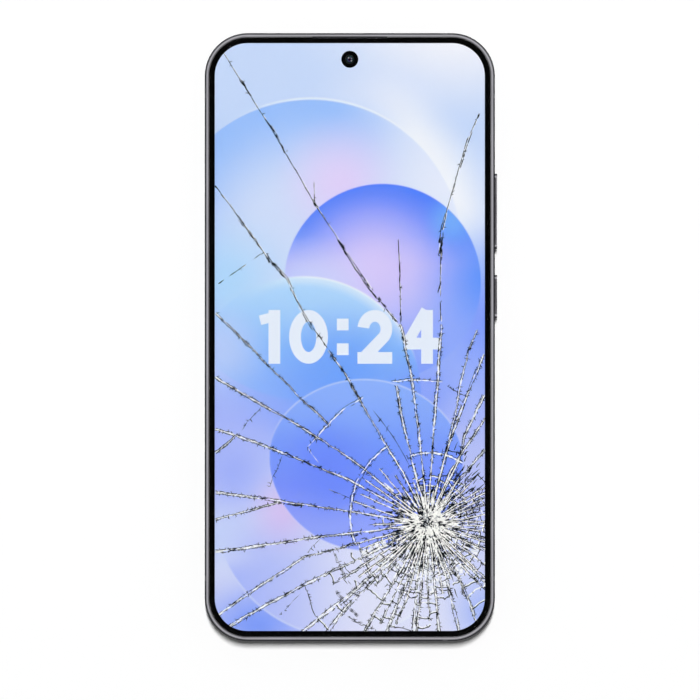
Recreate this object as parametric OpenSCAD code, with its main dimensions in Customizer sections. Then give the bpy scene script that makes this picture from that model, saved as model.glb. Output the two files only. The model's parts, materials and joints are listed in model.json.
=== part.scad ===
// A smartphone with a shattered screen, lying on its back with the screen up.
// The origin is under the middle of the body, at the level of the lowest lens ring.
// +X is to the right as the screen is read, +Y towards the top edge, +Z out of the screen.

/* [Body] */
// Width of the body, without the side keys
body_w = 71.8; // [70:0.1:90]
// Length of the body
body_l = 150.4; // [124:0.1:185]
// Thickness of the body, without the camera plate
body_t = 8.0; // [7.8:0.1:9.8]
// Corner radius of the body, seen from the front
corner_r = 10.6; // [9:0.1:13]
// Thickness of the metal band beside the inner cavity
wall = 2.6; // [2.4:0.1:3.2]
// Height of the rounded shoulder at the front of the band
front_round = 1.3; // [0.8:0.1:1.8]
// Height of the rounded shoulder at the back of the band
back_round = 1.6; // [0.8:0.1:2]
// Thickness of the plate that crosses the frame behind the screen
midplate_t = 0.5; // [0.4:0.05:0.8]

/* [Screen] */
// Width of the metal rim that shows around the glass
rim_w = 1.2; // [1:0.1:1.8]
// Width of the black border between the glass edge and the lit area
border_w = 1.3; // [1:0.1:3]
// Thickness of the cover glass
glass_t = 0.65; // [0.5:0.05:0.9]
// Thickness of the display panel with its backing
panel_t = 1.1; // [0.8:0.05:1.4]
// Thickness of the sealing ring under the edge of the glass
gasket_t = 0.35; // [0.25:0.05:0.5]
// Diameter of the hole in the panel for the front camera
punch_d = 4.2; // [3.4:0.1:6]
// Distance from the top edge of the body to the middle of the front camera
punch_top = 6.5; // [6.2:0.1:9]

/* [Cracks] */
// Distance from the right edge of the body to the point of impact
impact_right = 16.6; // [10:0.1:24]
// Distance from the bottom edge of the body to the point of impact
impact_bottom = 29.0; // [20:0.1:40]
// Width of a crack where it leaves the impact
crack_w_in = 0.34; // [0.2:0.02:0.6]
// Width of a crack where it runs out
crack_w_out = 0.14; // [0.08:0.02:0.2]
// Depth of the cracks, which stop short of the bonded underside
crack_depth = 0.45; // [0.2:0.05:0.45]
// Radius of the crushed dish at the impact
crush_r = 5.2; // [3:0.1:7]
// Depth of the crushed dish in its middle
crush_depth = 0.4; // [0.1:0.05:0.5]

/* [Back] */
// Thickness of the back cover
back_t = 0.7; // [0.5:0.05:1]
// Thickness of the glue under the edge of the back cover
glue_t = 0.15; // [0.1:0.05:0.3]
// Width of the metal land that shows around the back cover
back_rim_w = 1.0; // [0.9:0.1:1.6]

/* [Rear cameras] */
// Side of the raised camera plate
plate_side = 29; // [27:0.5:32]
// Corner radius of the camera plate
plate_r = 8; // [5:0.5:10]
// Height of the camera plate above the back cover
plate_h = 1.4; // [0.8:0.1:2.4]
// Distance from the camera plate to the nearest edges of the body
plate_margin = 4; // [3.5:0.5:7]
// Distance between neighbouring lenses
lens_pitch = 13.6; // [12:0.1:15]
// Outer radius of a lens ring
ring_r = 5.3; // [4.8:0.1:5.8]
// Height that a lens ring stands proud of its plate
ring_proud = 0.4; // [0.3:0.1:1]
// Radius of a lens window
window_r = 4.4; // [3.9:0.1:4.4]
// Radius of a camera barrel
barrel_r = 3.6; // [2.8:0.1:3.6]
// Side of a rear camera module
module_side = 9.6; // [8:0.1:10]
// Radius of the flash lens
flash_r = 2.6; // [1.8:0.1:3.4]

/* [Side keys] */
// Length of the volume key
volume_l = 18.6; // [14:0.1:24]
// Distance from the top edge of the body to the volume key
volume_top = 34.7; // [32:0.1:40]
// Length of the power key
power_l = 10.7; // [7:0.1:12]
// Distance from the top edge of the body to the power key
power_top = 59.8; // [57:0.1:66]
// Height of both keys across the thickness of the body
key_h = 2.3; // [1.8:0.1:3]
// Height that the keys stand proud of the band
key_proud = 0.6; // [0.3:0.1:1]
// Distance that a key moves when it is pressed
key_travel = 0.25; // [0.1:0.05:0.3]
// Room around a key in its slot
key_clear = 0.12; // [0.08:0.02:0.2]
// Distance of a volume stem from the middle of its key
volume_stem = 6.2; // [4:0.1:7]

/* [Ports] */
// Outer width of the socket shell
usb_w = 8.94; // [8.8:0.02:9.1]
// Outer height of the socket shell
usb_h = 3.26; // [3.1:0.02:3.4]
// Depth of the socket shell
usb_depth = 7.3; // [6.5:0.1:8]
// Width of the card tray's head
tray_w = 14.6; // [13.6:0.1:15]
// Height of the card tray's head
tray_h = 2.4; // [2:0.1:2.8]
// Length of the card tray behind its head
tray_l = 16.8; // [15.2:0.1:18]
// Thickness of the card tray
tray_t = 1.1; // [0.9:0.1:1.3]
// Distance of the card tray from the middle of the bottom edge
tray_x = 17.2; // [16.8:0.1:18]
// Radius of a loudspeaker hole
speaker_hole_r = 0.65; // [0.4:0.05:0.8]
// Distance between neighbouring loudspeaker holes
speaker_pitch = 2.1; // [1.8:0.1:2.3]
// Number of loudspeaker holes
speaker_holes = 6; // [3:1:6]
// Radius of a microphone hole
mic_hole_r = 0.4; // [0.3:0.05:0.6]
// Length of the earpiece slit
slit_l = 18.5; // [10:0.1:22]
// Width of the earpiece slit
slit_w = 0.55; // [0.4:0.05:0.6]
// Width of an antenna break in the band
break_w = 1.2; // [0.8:0.1:2]
// Distance from an end of the body to the antenna breaks in the sides
break_y = 15.5; // [13.5:0.1:20]
// Distance of the antenna breaks in the ends from the middle
break_x = 23.6; // [23.2:0.1:24]

/* [Inside] */
// Length of the bay for the main board and the cameras
top_bay = 43.6; // [42:0.1:50]
// Length of the bay for the lower board and the loudspeaker
bottom_bay = 19.6; // [19.2:0.1:24]
// Room that is kept between neighbouring inner pieces
room = 0.3; // [0.2:0.05:0.4]
// Width left beside the battery for the key switches
key_space = 2.0; // [1.6:0.1:3]
// Thickness of the circuit boards
board_t = 0.8; // [0.6:0.1:1]
// Height of the main board above the back face
board_h = 3.0; // [2.8:0.1:3.2]
// Radius of the wireless charging coil
coil_r = 23.5; // [16:0.5:24]
// Radius of a screw shank
screw_r = 0.6; // [0.5:0.05:0.7]
// Radius of a screw head
head_r = 1.25; // [1:0.05:1.4]

/* [Hidden] */
$fn = 48;
eps = 0.01;

// Levels, from the lowest lens ring upwards
z_back = ring_proud + plate_h;
z_front = z_back + body_t;
z_glass = z_front - glass_t;
z_gasket = z_glass - gasket_t;
z_panel = z_glass - panel_t;
z_plate = z_panel - midplate_t;
z_cover = z_back + back_t;
z_cavity = z_cover + glue_t;
z_mid = z_back + body_t / 2;
z_board = z_back + board_h;
z_board_top = z_board + board_t;

// Half sizes of the body and of the cavity inside the band
half_w = body_w / 2;
half_l = body_l / 2;
cavity_x = half_w - wall;
cavity_y = half_l - wall;

// Insets from the outer outline of the body
fit = 0.05;
glass_pocket = rim_w - 2 * fit;
panel_inset = rim_w + border_w - 0.4;
panel_pocket = panel_inset - 2 * fit;
back_pocket = back_rim_w - fit;
inner_outline = wall + room;

// The point of impact
impact = [half_w - impact_right, -half_l + impact_bottom];

// Rear cameras: the middle of the plate and of its four places
plate_pos = [half_w - plate_margin - plate_side / 2, half_l - plate_margin - plate_side / 2];
main_pos = plate_pos + [lens_pitch / 2, lens_pitch / 2];
wide_pos = plate_pos + [lens_pitch / 2, -lens_pitch / 2];
tele_pos = plate_pos + [-lens_pitch / 2, lens_pitch / 2];
flash_pos = plate_pos + [-lens_pitch / 2, -lens_pitch / 2];
ring_depth = 1.6;
window_sink = 0.15;
window_t = 0.6;
module_z = z_cover + 0.2;
module_top = z_plate - fit;

// Front camera
punch_pos = [0, half_l - punch_top];
front_module_side = 5.6;
front_barrel_r = punch_d / 2 - 0.2;

// Side keys
volume_y = half_l - volume_top - volume_l / 2;
power_y = half_l - power_top - power_l / 2;
key_in = 1.15;
slot_depth = key_in + key_travel;
stem_r = 0.75;
stem_hole_r = 1.1;
dome_r = 0.95;
dome_h = 0.18;
stem_end = cavity_x + dome_h + key_travel + 0.02;
flex_t = 0.2;

// Bays
bay_top = cavity_y - top_bay;
bay_bottom = -cavity_y + bottom_bay;
battery_x0 = -cavity_x + 2 * room;
battery_x1 = cavity_x - key_space;
battery_z = z_cavity + 0.4;
battery_top = z_plate - 0.1;
terrace = 2.1;
tray_pos = -tray_x;
tray_clear = 0.15;
tray_head_t = wall - 0.7;
sub_top = z_mid - usb_h / 2;
sub_z = sub_top - board_t;
camera_bay = [tele_pos[0] - module_side / 2 - 2 * room, wide_pos[1] - module_side / 2 - 2 * room];
earpiece_x0 = -20;
earpiece_x1 = -6;
earpiece_l = 7.4;
mic_size = [2.8, 2, 1];
bottom_mic_x = -7.4;
top_mic_x = -24;
speaker_x0 = 9.5;
speaker_hole_x0 = speaker_x0 + 1.4;
flex_x0 = battery_x0 + 1.5;
flex_w = 6;

// Screw places: [x, y]
main_screws = [
    [-cavity_x + 2.9, cavity_y - 10],
    [-2, cavity_y - 12],
    [-cavity_x + 2.9, bay_top + 4],
    [5, bay_top + 4],
    [cavity_x - 3.3, bay_top + 4]
];
sub_screws = [
    [-cavity_x + 3.5, -cavity_y + 13.2],
    [-cavity_x + 3.5, -cavity_y + 6.6],
    [7.4, -cavity_y + 15],
    [6.8, -cavity_y + 3.1]
];
boss_r = 1.5;

// Cracks that run from the impact, as offsets from it, outermost point first
radials = [
    [[-50.5, 116], [-40, 99.5], [-28, 79], [-19, 66], [-9.5, 52], [-6.5, 48.5], [-4, 36.5], [-1.5, 17],
        [0, 0]],
    [[-52, 83.5], [-39, 65], [-32, 55], [-19, 35.5], [-10.5, 19.5], [0, 0]],
    [[12.5, 101.5], [7, 85], [3.5, 73], [3, 57], [2.5, 38], [1, 17.5], [0, 0]],
    [[12, 48], [8, 34], [4.5, 17.5], [0, 0]],
    [[13.5, 41], [9.5, 32], [5, 19.5]],
    [[14, 32], [9, 22], [7.5, 16], [0, 0]],
    [[14, 26], [9, 18.5], [5.5, 13]],
    [[14, 18], [8, 11.5], [0, 0]],
    [[13.5, 6], [0, 0]],
    [[14, -4.5], [0, 0]],
    [[13.5, -14], [0, 0]],
    [[11.5, -24], [5, -7.5], [0, 0]],
    [[7.5, -26], [5, -14.5], [0, 0]],
    [[2.5, -26], [1.5, -14.5], [0, 0]],
    [[-3.5, -26], [-2.5, -13.5], [0, 0]],
    [[-10, -26], [-4.5, -12.5], [0, 0]],
    [[-15.5, -26], [0, 0]],
    [[-24.5, -26], [-20.5, -21], [0, 0]],
    [[-30.5, -26], [-19, -17.5], [0, 0]],
    [[-49, -25], [-40, -20], [-19.5, -10], [0, 0]],
    [[-51, -22.5], [-36, -12], [-30.5, -8], [-19, -5], [0, 0]],
    [[-52, -7], [-27.5, -3.5], [0, 0]],
    [[-52, 8], [-36, 5.5], [-19, 3], [0, 0]],
    [[-52, 23.5], [-35, 17], [-19, 11], [0, 0]],
    [[-52, 36.5], [-40, 29], [-28, 21.5], [-12.5, 11], [0, 0]],
    [[-52, 52], [-34, 34], [-24.5, 24.5]],
    [[-7.5, 70.5], [-7, 61.5], [-6.5, 49]]
];
// Cracks that cross them, around the impact: [start angle, end angle, start radius, end radius]
rings = [
    [77, 104, 33.5, 36], [117, 143, 36, 35.5], [117, 196, 21.5, 18.5], [191, 227, 24.5, 25],
    [207, 221, 34, 36], [70, 107, 17.5, 17], [66, 106, 9.5, 9.5], [232, 306, 14, 16],
    [255, 278, 19.3, 19]
];
ring_step = 8;

// Basic shapes ---------------------------------------------------------------

// Outline of the body, drawn in by a given inset
module outline(inset) {
    r = corner_r - inset;
    x = half_w - corner_r;
    y = half_l - corner_r;
    union() {
        square([2 * x, 2 * (y + r)], center = true);
        square([2 * (x + r), 2 * y], center = true);
        for (sx = [-1, 1], sy = [-1, 1]) translate([sx * x, sy * y]) circle(r);
    }
}

// Slab with the body's outline, between two levels
module slab(inset, z0, z1) {
    translate([0, 0, z0]) linear_extrude(z1 - z0) outline(inset);
}

// Box between two corners
module block(a, b) {
    translate(a) cube(b - a);
}

// Rectangle with round corners, standing on z0
module rounded_block(size, r, z0, z1) {
    x = size[0] / 2 - r;
    y = size[1] / 2 - r;
    translate([0, 0, z0]) linear_extrude(z1 - z0) union() {
        square([2 * x, 2 * (y + r)], center = true);
        square([2 * (x + r), 2 * y], center = true);
        for (sx = [-1, 1], sy = [-1, 1]) translate([sx * x, sy * y]) circle(r);
    }
}

// Bar with round ends whose length lies along X and height along Z, from y0 to y1
module slot_y(w, h, x, z, y0, y1) {
    translate([x, y1, z]) rotate([90, 0, 0]) linear_extrude(y1 - y0) {
        square([w - h, h], center = true);
        for (s = [-1, 1]) translate([s * (w - h) / 2, 0]) circle(h / 2);
    }
}

// Bar with round ends whose length lies along Y and height along Z, from x0 to x1
module slot_x(l, h, y, z, x0, x1) {
    translate([x0, y, z]) rotate([90, 0, 90]) linear_extrude(x1 - x0) {
        square([l - h, h], center = true);
        for (s = [-1, 1]) translate([s * (l - h) / 2, 0]) circle(h / 2);
    }
}

module rod_z(pos, r, z0, z1) {
    translate([pos[0], pos[1], z0]) cylinder(h = z1 - z0, r = r);
}

module rod_x(y, z, r, x0, x1) {
    translate([x0, y, z]) rotate([0, 90, 0]) cylinder(h = x1 - x0, r = r);
}

module rod_y(x, z, r, y0, y1) {
    translate([x, y0, z]) rotate([-90, 0, 0]) cylinder(h = y1 - y0, r = r);
}

// A quarter arc from angle a0 to a1, squeezed to the given half axes
function arc(cx, cz, rx, rz, a0, a1, n) =
    [for (i = [0:n]) let (a = a0 + (a1 - a0) * i / n) [cx + rx * cos(a), cz + rz * sin(a)]];

// The frame ------------------------------------------------------------------

// Section of the band: first the distance out from its outer face, then the level
shoulder = 8;
back_land = back_pocket - 0.15;
front_land = glass_pocket - 0.1;
band_section = concat(
    arc(-back_land, z_back + back_round, back_land, back_round, -90, 0, shoulder),
    arc(-front_land, z_front - front_round, front_land, front_round, 0, 90, shoulder),
    [
        [-glass_pocket, z_front], [-glass_pocket, z_gasket],
        [-panel_pocket, z_gasket], [-panel_pocket, z_panel],
        [-wall - 2 * room, z_panel], [-wall - 2 * room, z_plate],
        [-wall, z_plate], [-wall, z_cavity],
        [-back_pocket, z_cavity], [-back_pocket, z_back]
    ]
);

// A straight length of the band, which runs along Y beside the outer face at x = 0
module band_bar(length) {
    translate([0, length / 2, 0]) rotate([90, 0, 0]) linear_extrude(length) polygon(band_section);
}

module band_corner() {
    rotate_extrude(angle = 90, $fn = 96) translate([corner_r, 0]) polygon(band_section);
}

module band() {
    for (s = [0, 1]) {
        rotate([0, 0, 180 * s]) translate([half_w, 0, 0]) band_bar(2 * (half_l - corner_r));
        rotate([0, 0, 90 + 180 * s]) translate([half_l, 0, 0]) band_bar(2 * (half_w - corner_r));
        rotate([0, 0, 180 * s]) {
            translate([half_w - corner_r, half_l - corner_r, 0]) band_corner();
            translate([-half_w + corner_r, half_l - corner_r, 0]) rotate([0, 0, 90]) band_corner();
        }
    }
}

// Places of the antenna breaks, with a given length along the band
module at_breaks() {
    for (sy = [-1, 1]) {
        translate([half_w, sy * (half_l - break_y), 0]) children();
        translate([-half_w, sy * (half_l - break_y), 0]) rotate([0, 0, 180]) children();
        translate([break_x, sy * half_l, 0]) rotate([0, 0, 90 * sy]) children();
    }
}

module break_cutter() {
    block([-wall, -break_w / 2, z_back - 1], [1, break_w / 2, z_plate]);
    block([-panel_pocket, -break_w / 2, z_back - 1], [1, break_w / 2, z_front + 1]);
}

// The slit beside the glass, and the duct that leads down to the earpiece
module earpiece_duct(grow) {
    y0 = half_l - rim_w - 0.2;
    block([-slit_l / 2 - grow, y0, z_gasket - 0.1], [slit_l / 2 + grow, y0 + slit_w, z_front + 1]);
    block([-slit_l / 2, y0, z_board_top + 0.2], [earpiece_x1 - 0.2, y0 + slit_w, z_gasket]);
    block([-slit_l / 2, cavity_y - 0.1, z_board_top + 0.2],
          [earpiece_x1 - 0.2, y0 + slit_w, z_plate - 0.2]);
}

module key_slot(length, y) {
    slot_x(length + 2 * key_clear, key_h + 2 * key_clear, y, z_mid, half_w - slot_depth, half_w + 1);
}

module bosses(places, z0) {
    for (p = places) rod_z(p, boss_r, z0, z_plate + 0.1);
}

module frame() {
    color([0.42, 0.42, 0.45]) difference() {
        union() {
            band();
            slab(inner_outline, z_plate, z_panel);
            bosses(main_screws, z_board_top);
            bosses(sub_screws, sub_top);
        }
        at_breaks() break_cutter();
        // keys and their stems
        key_slot(volume_l, volume_y);
        key_slot(power_l, power_y);
        for (y = [volume_y - volume_stem, volume_y + volume_stem, power_y])
            rod_x(y, z_mid, stem_hole_r, cavity_x - 1, half_w - slot_depth + 0.1);
        // socket, card tray with its pin hole, loudspeaker and microphones
        slot_y(usb_w + 2 * fit, usb_h + 2 * fit, 0, z_mid, -half_l - 1, -cavity_y + 0.5);
        slot_y(usb_w + 1, usb_h + 1, 0, z_mid, -cavity_y - usb_seal_t - fit, -cavity_y);
        slot_y(tray_w + 2 * tray_clear, tray_h + 2 * tray_clear, tray_pos, z_mid,
               -half_l - 1, -half_l + tray_head_t + tray_clear);
        slot_y(tray_w - 0.6, tray_t + 0.8, tray_pos, z_mid, -half_l, -cavity_y + 0.5);
        rod_y(tray_pos - tray_w / 2 - 2, z_mid, mic_hole_r, -half_l - 1, -cavity_y + 0.5);
        for (i = [0:speaker_holes - 1])
            rod_y(speaker_hole_x0 + i * speaker_pitch, z_mid, speaker_hole_r,
                  -half_l - 1, -cavity_y + 0.5);
        rod_y(bottom_mic_x, sub_top + mic_size[2] / 2, mic_hole_r, -half_l - 1, -cavity_y + 0.5);
        rod_y(top_mic_x, z_board_top + mic_size[2] / 2, mic_hole_r, cavity_y - 0.5, half_l + 1);
        earpiece_duct(0);
        // openings in the plate: front camera, fingerprint sensor, display ribbon
        front_module_block(0.2, z_plate - 1, z_panel + 1);
        fingerprint_block(0.2, z_plate - 1, z_panel + 1);
        display_slot();
        // threads
        for (p = main_screws) rod_z(p, screw_r + 0.02, z_board_top - 1, z_plate - 0.2);
        for (p = sub_screws) rod_z(p, screw_r + 0.02, sub_top - 1, z_plate - 0.2);
    }
}

module antenna_breaks() {
    color([0.3, 0.3, 0.32]) at_breaks() difference() {
        band_bar(break_w);
        block([-wall - 1, -break_w, z_plate], [-panel_pocket, break_w, z_front]);
    }
}

// The screen -----------------------------------------------------------------

// Unit normal of the stretch from a to b
function normal(a, b) = let (d = b - a) [-d[1], d[0]] / norm(d);

// Normal at point i of a path, the mean of its two stretches
function path_normal(p, i) =
    let (
        n0 = normal(p[max(i - 1, 0)], p[max(i, 1)]),
        n1 = normal(p[min(i, len(p) - 2)], p[min(i + 1, len(p) - 1)]),
        n = n0 + n1
    ) n / norm(n);

// A strip along a path whose width grows from its first point to its last
function strip(p, w0, w1) =
    let (last = len(p) - 1, half = [for (i = [0:last]) (w0 + (w1 - w0) * i / last) / 2])
    concat(
        [for (i = [0:last]) p[i] + path_normal(p, i) * half[i]],
        [for (i = [last:-1:0]) p[i] - path_normal(p, i) * half[i]]
    );

function ring_path(r) =
    let (n = max(2, ceil((r[1] - r[0]) / ring_step)))
    [for (i = [0:n]) let (a = r[0] + (r[1] - r[0]) * i / n, d = r[2] + (r[3] - r[2]) * i / n)
        [d * cos(a), d * sin(a)]];

module cracks() {
    translate([impact[0], impact[1], z_front - crack_depth]) {
        for (p = radials) linear_extrude(1) polygon(strip(p, crack_w_out, crack_w_in));
        for (r = rings) linear_extrude(1) polygon(strip(ring_path(r), crack_w_out, crack_w_out));
    }
    rod_z_cone(impact, crush_r, crush_depth);
}

// A shallow dish with its rim in the glass's front face
module rod_z_cone(pos, r, depth) {
    translate([pos[0], pos[1], z_front - depth]) cylinder(h = depth + eps, r1 = r * 0.2, r2 = r);
}

module cover_glass() {
    color([0.62, 0.74, 0.95]) difference() {
        slab(rim_w, z_glass, z_front);
        block([-slit_l / 2, half_l - rim_w - 0.2, z_glass - 1], [slit_l / 2, half_l, z_front + 1]);
        cracks();
    }
}

module display_gasket() {
    color([0.08, 0.08, 0.09]) difference() {
        slab(glass_pocket + fit, z_gasket, z_glass);
        slab(panel_pocket - fit, z_gasket - 1, z_glass + 1);
        block([-slit_l / 2, half_l - rim_w - 0.2, z_gasket - 1], [slit_l / 2, half_l, z_glass + 1]);
    }
}

module display_panel() {
    color([0.35, 0.5, 0.95]) difference() {
        slab(panel_inset, z_panel, z_glass);
        rod_z(punch_pos, punch_d / 2, z_panel - 1, z_glass + 1);
    }
}

ribbon_w = 11;
ribbon_y = bay_bottom - 3.2;
ribbon_l = 12;
ribbon_x = -1.8;

// Opening and shallow pocket for the display's ribbon
module display_slot() {
    x0 = ribbon_x - ribbon_w / 2 - room;
    x1 = ribbon_x + ribbon_w / 2 + room;
    block([x0, ribbon_y - room, z_plate - 1], [x1, ribbon_y + flex_t + room, z_panel + 1]);
    block([x0, ribbon_y - ribbon_l - room, z_panel - flex_t - fit], [x1, ribbon_y + room, z_panel + 1]);
}

module display_flex() {
    x0 = ribbon_x - ribbon_w / 2;
    x1 = ribbon_x + ribbon_w / 2;
    color([0.75, 0.45, 0.15]) union() {
        block([x0, ribbon_y - ribbon_l, z_panel - flex_t], [x1, ribbon_y + flex_t, z_panel]);
        block([x0, ribbon_y, sub_top + 0.8], [x1, ribbon_y + flex_t, z_panel]);
        block([x0, ribbon_y - 1.4, sub_top], [x1, ribbon_y + flex_t, sub_top + 0.8]);
    }
}

module front_module_block(grow, z0, z1) {
    s = front_module_side / 2 + grow;
    block([punch_pos[0] - s, punch_pos[1] - s, z0], [punch_pos[0] + s, punch_pos[1] + s, z1]);
}

module front_camera() {
    color([0.05, 0.05, 0.06]) difference() {
        union() {
            front_module_block(0, z_board_top + 0.1, z_panel - fit);
            rod_z(punch_pos, front_barrel_r, z_panel - 0.2, z_glass - 0.1);
        }
        rod_z(punch_pos, 1.05, z_glass - 0.25, z_glass);
    }
}

module front_camera_lens() {
    color([0.1, 0.12, 0.2]) rod_z(punch_pos, 1, z_glass - 0.25, z_glass - 0.12);
}

module earpiece_speaker() {
    color([0.15, 0.15, 0.16])
        block([earpiece_x0, cavity_y - room - earpiece_l, z_board_top],
              [earpiece_x1, cavity_y - 0.1, z_plate - 0.1]);
}

module earpiece_mesh() {
    y0 = half_l - rim_w - 0.2;
    color([0.12, 0.12, 0.13])
        block([-slit_l / 2 + fit, y0 + fit, z_glass], [slit_l / 2 - fit, y0 + slit_w - fit, z_glass + 0.2]);
}

module fingerprint_block(grow, z0, z1) {
    s = 4 + grow;
    y = bay_bottom + 7;
    block([-s, y - s, z0], [s, y + s, z1]);
}

module fingerprint_sensor() {
    color([0.1, 0.25, 0.2]) fingerprint_block(0, z_plate, z_panel);
}

// Main board bay -------------------------------------------------------------

// The two arms of the main board: beside the cameras and below them
board_corner = [-cavity_x, bay_top + room];
module board_plan(z0, z1) {
    intersection() {
        slab(inner_outline, z0, z1);
        union() {
            block([board_corner[0], board_corner[1], z0 - 1], [camera_bay[0], half_l, z1 + 1]);
            block([board_corner[0], board_corner[1], z0 - 1],
                  [cavity_x - 1, camera_bay[1], z1 + 1]);
        }
    }
}

can_wall = 0.2;
front_can_top = z_plate - 0.5;
// Shield cans on each side of the board: [low corner, high corner]
front_cans = [
    [[-cavity_x + 6, bay_top + 2], [-12.5, bay_top + 30]],
    [[-11.5, bay_top + 2], [2.4, bay_top + 26.5]],
    [[16, bay_top + 2], [cavity_x - 6.3, camera_bay[1] - 1]]
];
rear_cans = [
    [[-cavity_x + 10, bay_top + 3], [-9, bay_top + 29]],
    [[-7.5, bay_top + 7], [camera_bay[0] - 3, bay_top + 27]]
];
rear_can_z = z_cavity + 0.85;

module can(c, z0, z1, open_up) {
    difference() {
        block([c[0][0], c[0][1], z0], [c[1][0], c[1][1], z1]);
        block([c[0][0] + can_wall, c[0][1] + can_wall, open_up ? z0 + can_wall : z0 - 1],
              [c[1][0] - can_wall, c[1][1] - can_wall, open_up ? z1 + 1 : z1 - can_wall]);
    }
}

module main_board() {
    color([0.05, 0.3, 0.25]) difference() {
        board_plan(z_board, z_board_top);
        for (p = main_screws) rod_z(p, screw_r + 0.2, z_board - 1, z_board_top + 1);
    }
}

module chips() {
    color([0.1, 0.1, 0.1]) {
        for (c = front_cans) chip(c, 0.62, z_board_top, z_board_top + 0.9);
        for (c = rear_cans) chip(c, 0.5, z_board - 0.8, z_board);
    }
}

// A square package in the middle of a can
module chip(c, share, z0, z1) {
    mid = (c[0] + c[1]) / 2;
    s = min(c[1][0] - c[0][0], c[1][1] - c[0][1]) * share / 2;
    block([mid[0] - s, mid[1] - s, z0], [mid[0] + s, mid[1] + s, z1]);
}

module front_shields() {
    color([0.75, 0.75, 0.78]) for (c = front_cans) can(c, z_board_top, front_can_top, false);
}

module rear_shields() {
    color([0.75, 0.75, 0.78]) for (c = rear_cans) can(c, rear_can_z, z_board, true);
}

module vapour_chamber() {
    color([0.75, 0.45, 0.3])
        block([front_cans[0][0][0] + 1, bay_top + 3, front_can_top], [1.6, bay_top + 25, z_plate]);
}

module board_cover() {
    color([0.12, 0.12, 0.13]) difference() {
        union() {
            board_plan(z_cavity + fit, rear_can_z);
            for (p = main_screws) rod_z(p, boss_r, z_cavity + 0.4, z_board);
        }
        for (p = main_screws) {
            rod_z(p, screw_r + 0.2, z_back, z_board + 1);
            rod_z(p, head_r + 0.1, z_back, z_cavity + 0.5);
        }
    }
}

module screw(p, z_head, z_end) {
    rod_z(p, head_r, z_head, z_head + 0.4);
    rod_z(p, screw_r, z_head + 0.3, z_end);
}

module board_screws() {
    color([0.6, 0.6, 0.62]) for (p = main_screws) screw(p, z_cavity + 0.1, z_plate - 0.4);
}

module top_microphone() {
    color([0.7, 0.6, 0.3]) block([top_mic_x - mic_size[0] / 2, cavity_y - room - mic_size[1], z_board_top],
        [top_mic_x + mic_size[0] / 2, cavity_y - room, z_board_top + mic_size[2]]);
}

// Rear cameras ---------------------------------------------------------------

module rear_camera(p) {
    s = module_side / 2;
    color([0.1, 0.1, 0.12]) union() {
        block([p[0] - s, p[1] - s, module_z], [p[0] + s, p[1] + s, module_top]);
        rod_z(p, barrel_r, window_sink + window_t + 0.1, module_z + 0.1);
    }
}

module main_camera() { rear_camera(main_pos); }

module wide_camera() { rear_camera(wide_pos); }

module tele_camera() { rear_camera(tele_pos); }

module camera_plate() {
    color([0.25, 0.25, 0.28]) difference() {
        translate([plate_pos[0], plate_pos[1], 0])
            rounded_block([plate_side, plate_side], plate_r, ring_proud, z_cover);
        for (p = [main_pos, wide_pos, tele_pos]) rod_z(p, ring_r + fit, -1, z_cover + 1);
        rod_z(flash_pos, flash_r + fit, -1, z_cover + 1);
    }
}

module lens_rings() {
    color([0.55, 0.55, 0.58]) for (p = [main_pos, wide_pos, tele_pos]) difference() {
        rod_z(p, ring_r, 0, ring_depth);
        rod_z(p, window_r + fit, -1, window_sink + window_t);
        rod_z(p, barrel_r + 0.1, 0, ring_depth + 1);
    }
}

module lens_windows() {
    color([0.06, 0.07, 0.1]) for (p = [main_pos, wide_pos, tele_pos])
        rod_z(p, window_r, window_sink, window_sink + window_t);
}

module flash_lens() {
    color([0.95, 0.93, 0.85]) rod_z(flash_pos, flash_r, ring_proud, ring_proud + 0.9);
}

module flash_led() {
    color([0.9, 0.8, 0.3]) union() {
        rod_z(flash_pos, flash_r - 0.2, ring_proud + 0.95, module_z + 0.1);
        block(
            [flash_pos[0] - 3, flash_pos[1] - 3, module_z],
            [flash_pos[0] + 3, flash_pos[1] + 3, module_z + 0.5]
        );
    }
}

// Battery bay ----------------------------------------------------------------

module battery() {
    color([0.16, 0.16, 0.17])
        block(
            [battery_x0, bay_bottom + room, battery_z],
            [battery_x1, bay_top - room - terrace, battery_top]
        );
}

module battery_circuit() {
    y1 = bay_top - room;
    color([0.1, 0.35, 0.2]) union() {
        block([battery_x0 + 4, y1 - terrace, z_mid - 1], [battery_x1 - 4, y1, z_mid + 1]);
        block([7.6, y1 - terrace, z_board_top], [13.6, bay_top + 7, z_board_top + flex_t]);
        block([7.6, bay_top + 4, z_board_top], [13.6, bay_top + 7, z_board_top + 0.9]);
    }
}

module battery_adhesive() {
    color([0.85, 0.85, 0.8]) for (s = [-1, 1]) {
        x = (battery_x0 + battery_x1) / 2 + s * 20;
        block([x - 6, bay_bottom + 12, battery_top], [x + 6, bay_top - 6, z_plate]);
    }
}

module charging_coil() {
    mid = [0, (bay_bottom + bay_top) / 2];
    turns = 9;
    pitch = 1.1;
    color([0.7, 0.42, 0.25]) union() {
        rod_z(mid, coil_r, battery_z - 0.15, battery_z);
        for (i = [0:turns - 1]) difference() {
            rod_z(mid, coil_r - 0.6 - i * pitch, z_cavity + fit, battery_z - 0.1);
            rod_z(mid, coil_r - 0.6 - i * pitch - pitch * 0.7, z_cavity - 1, battery_z);
        }
    }
}

module main_flex() {
    x1 = flex_x0 + flex_w;
    z0 = battery_z - 0.15;
    y_top = bay_top + 0.1;
    y_bottom = bay_bottom - 4.5;
    color([0.75, 0.45, 0.15]) union() {
        block([flex_x0, y_bottom, z0], [x1, y_top, battery_z]);
        block([flex_x0, y_top - 0.15, z0], [x1, y_top, z_board]);
        block([flex_x0, y_top - 0.15, z_board - 0.15], [x1, bay_top + 2.2, z_board]);
        block([flex_x0 + 0.5, y_bottom, z0], [x1 - 0.5, y_bottom + 3, sub_z]);
    }
}

// Lower bay ------------------------------------------------------------------

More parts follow.
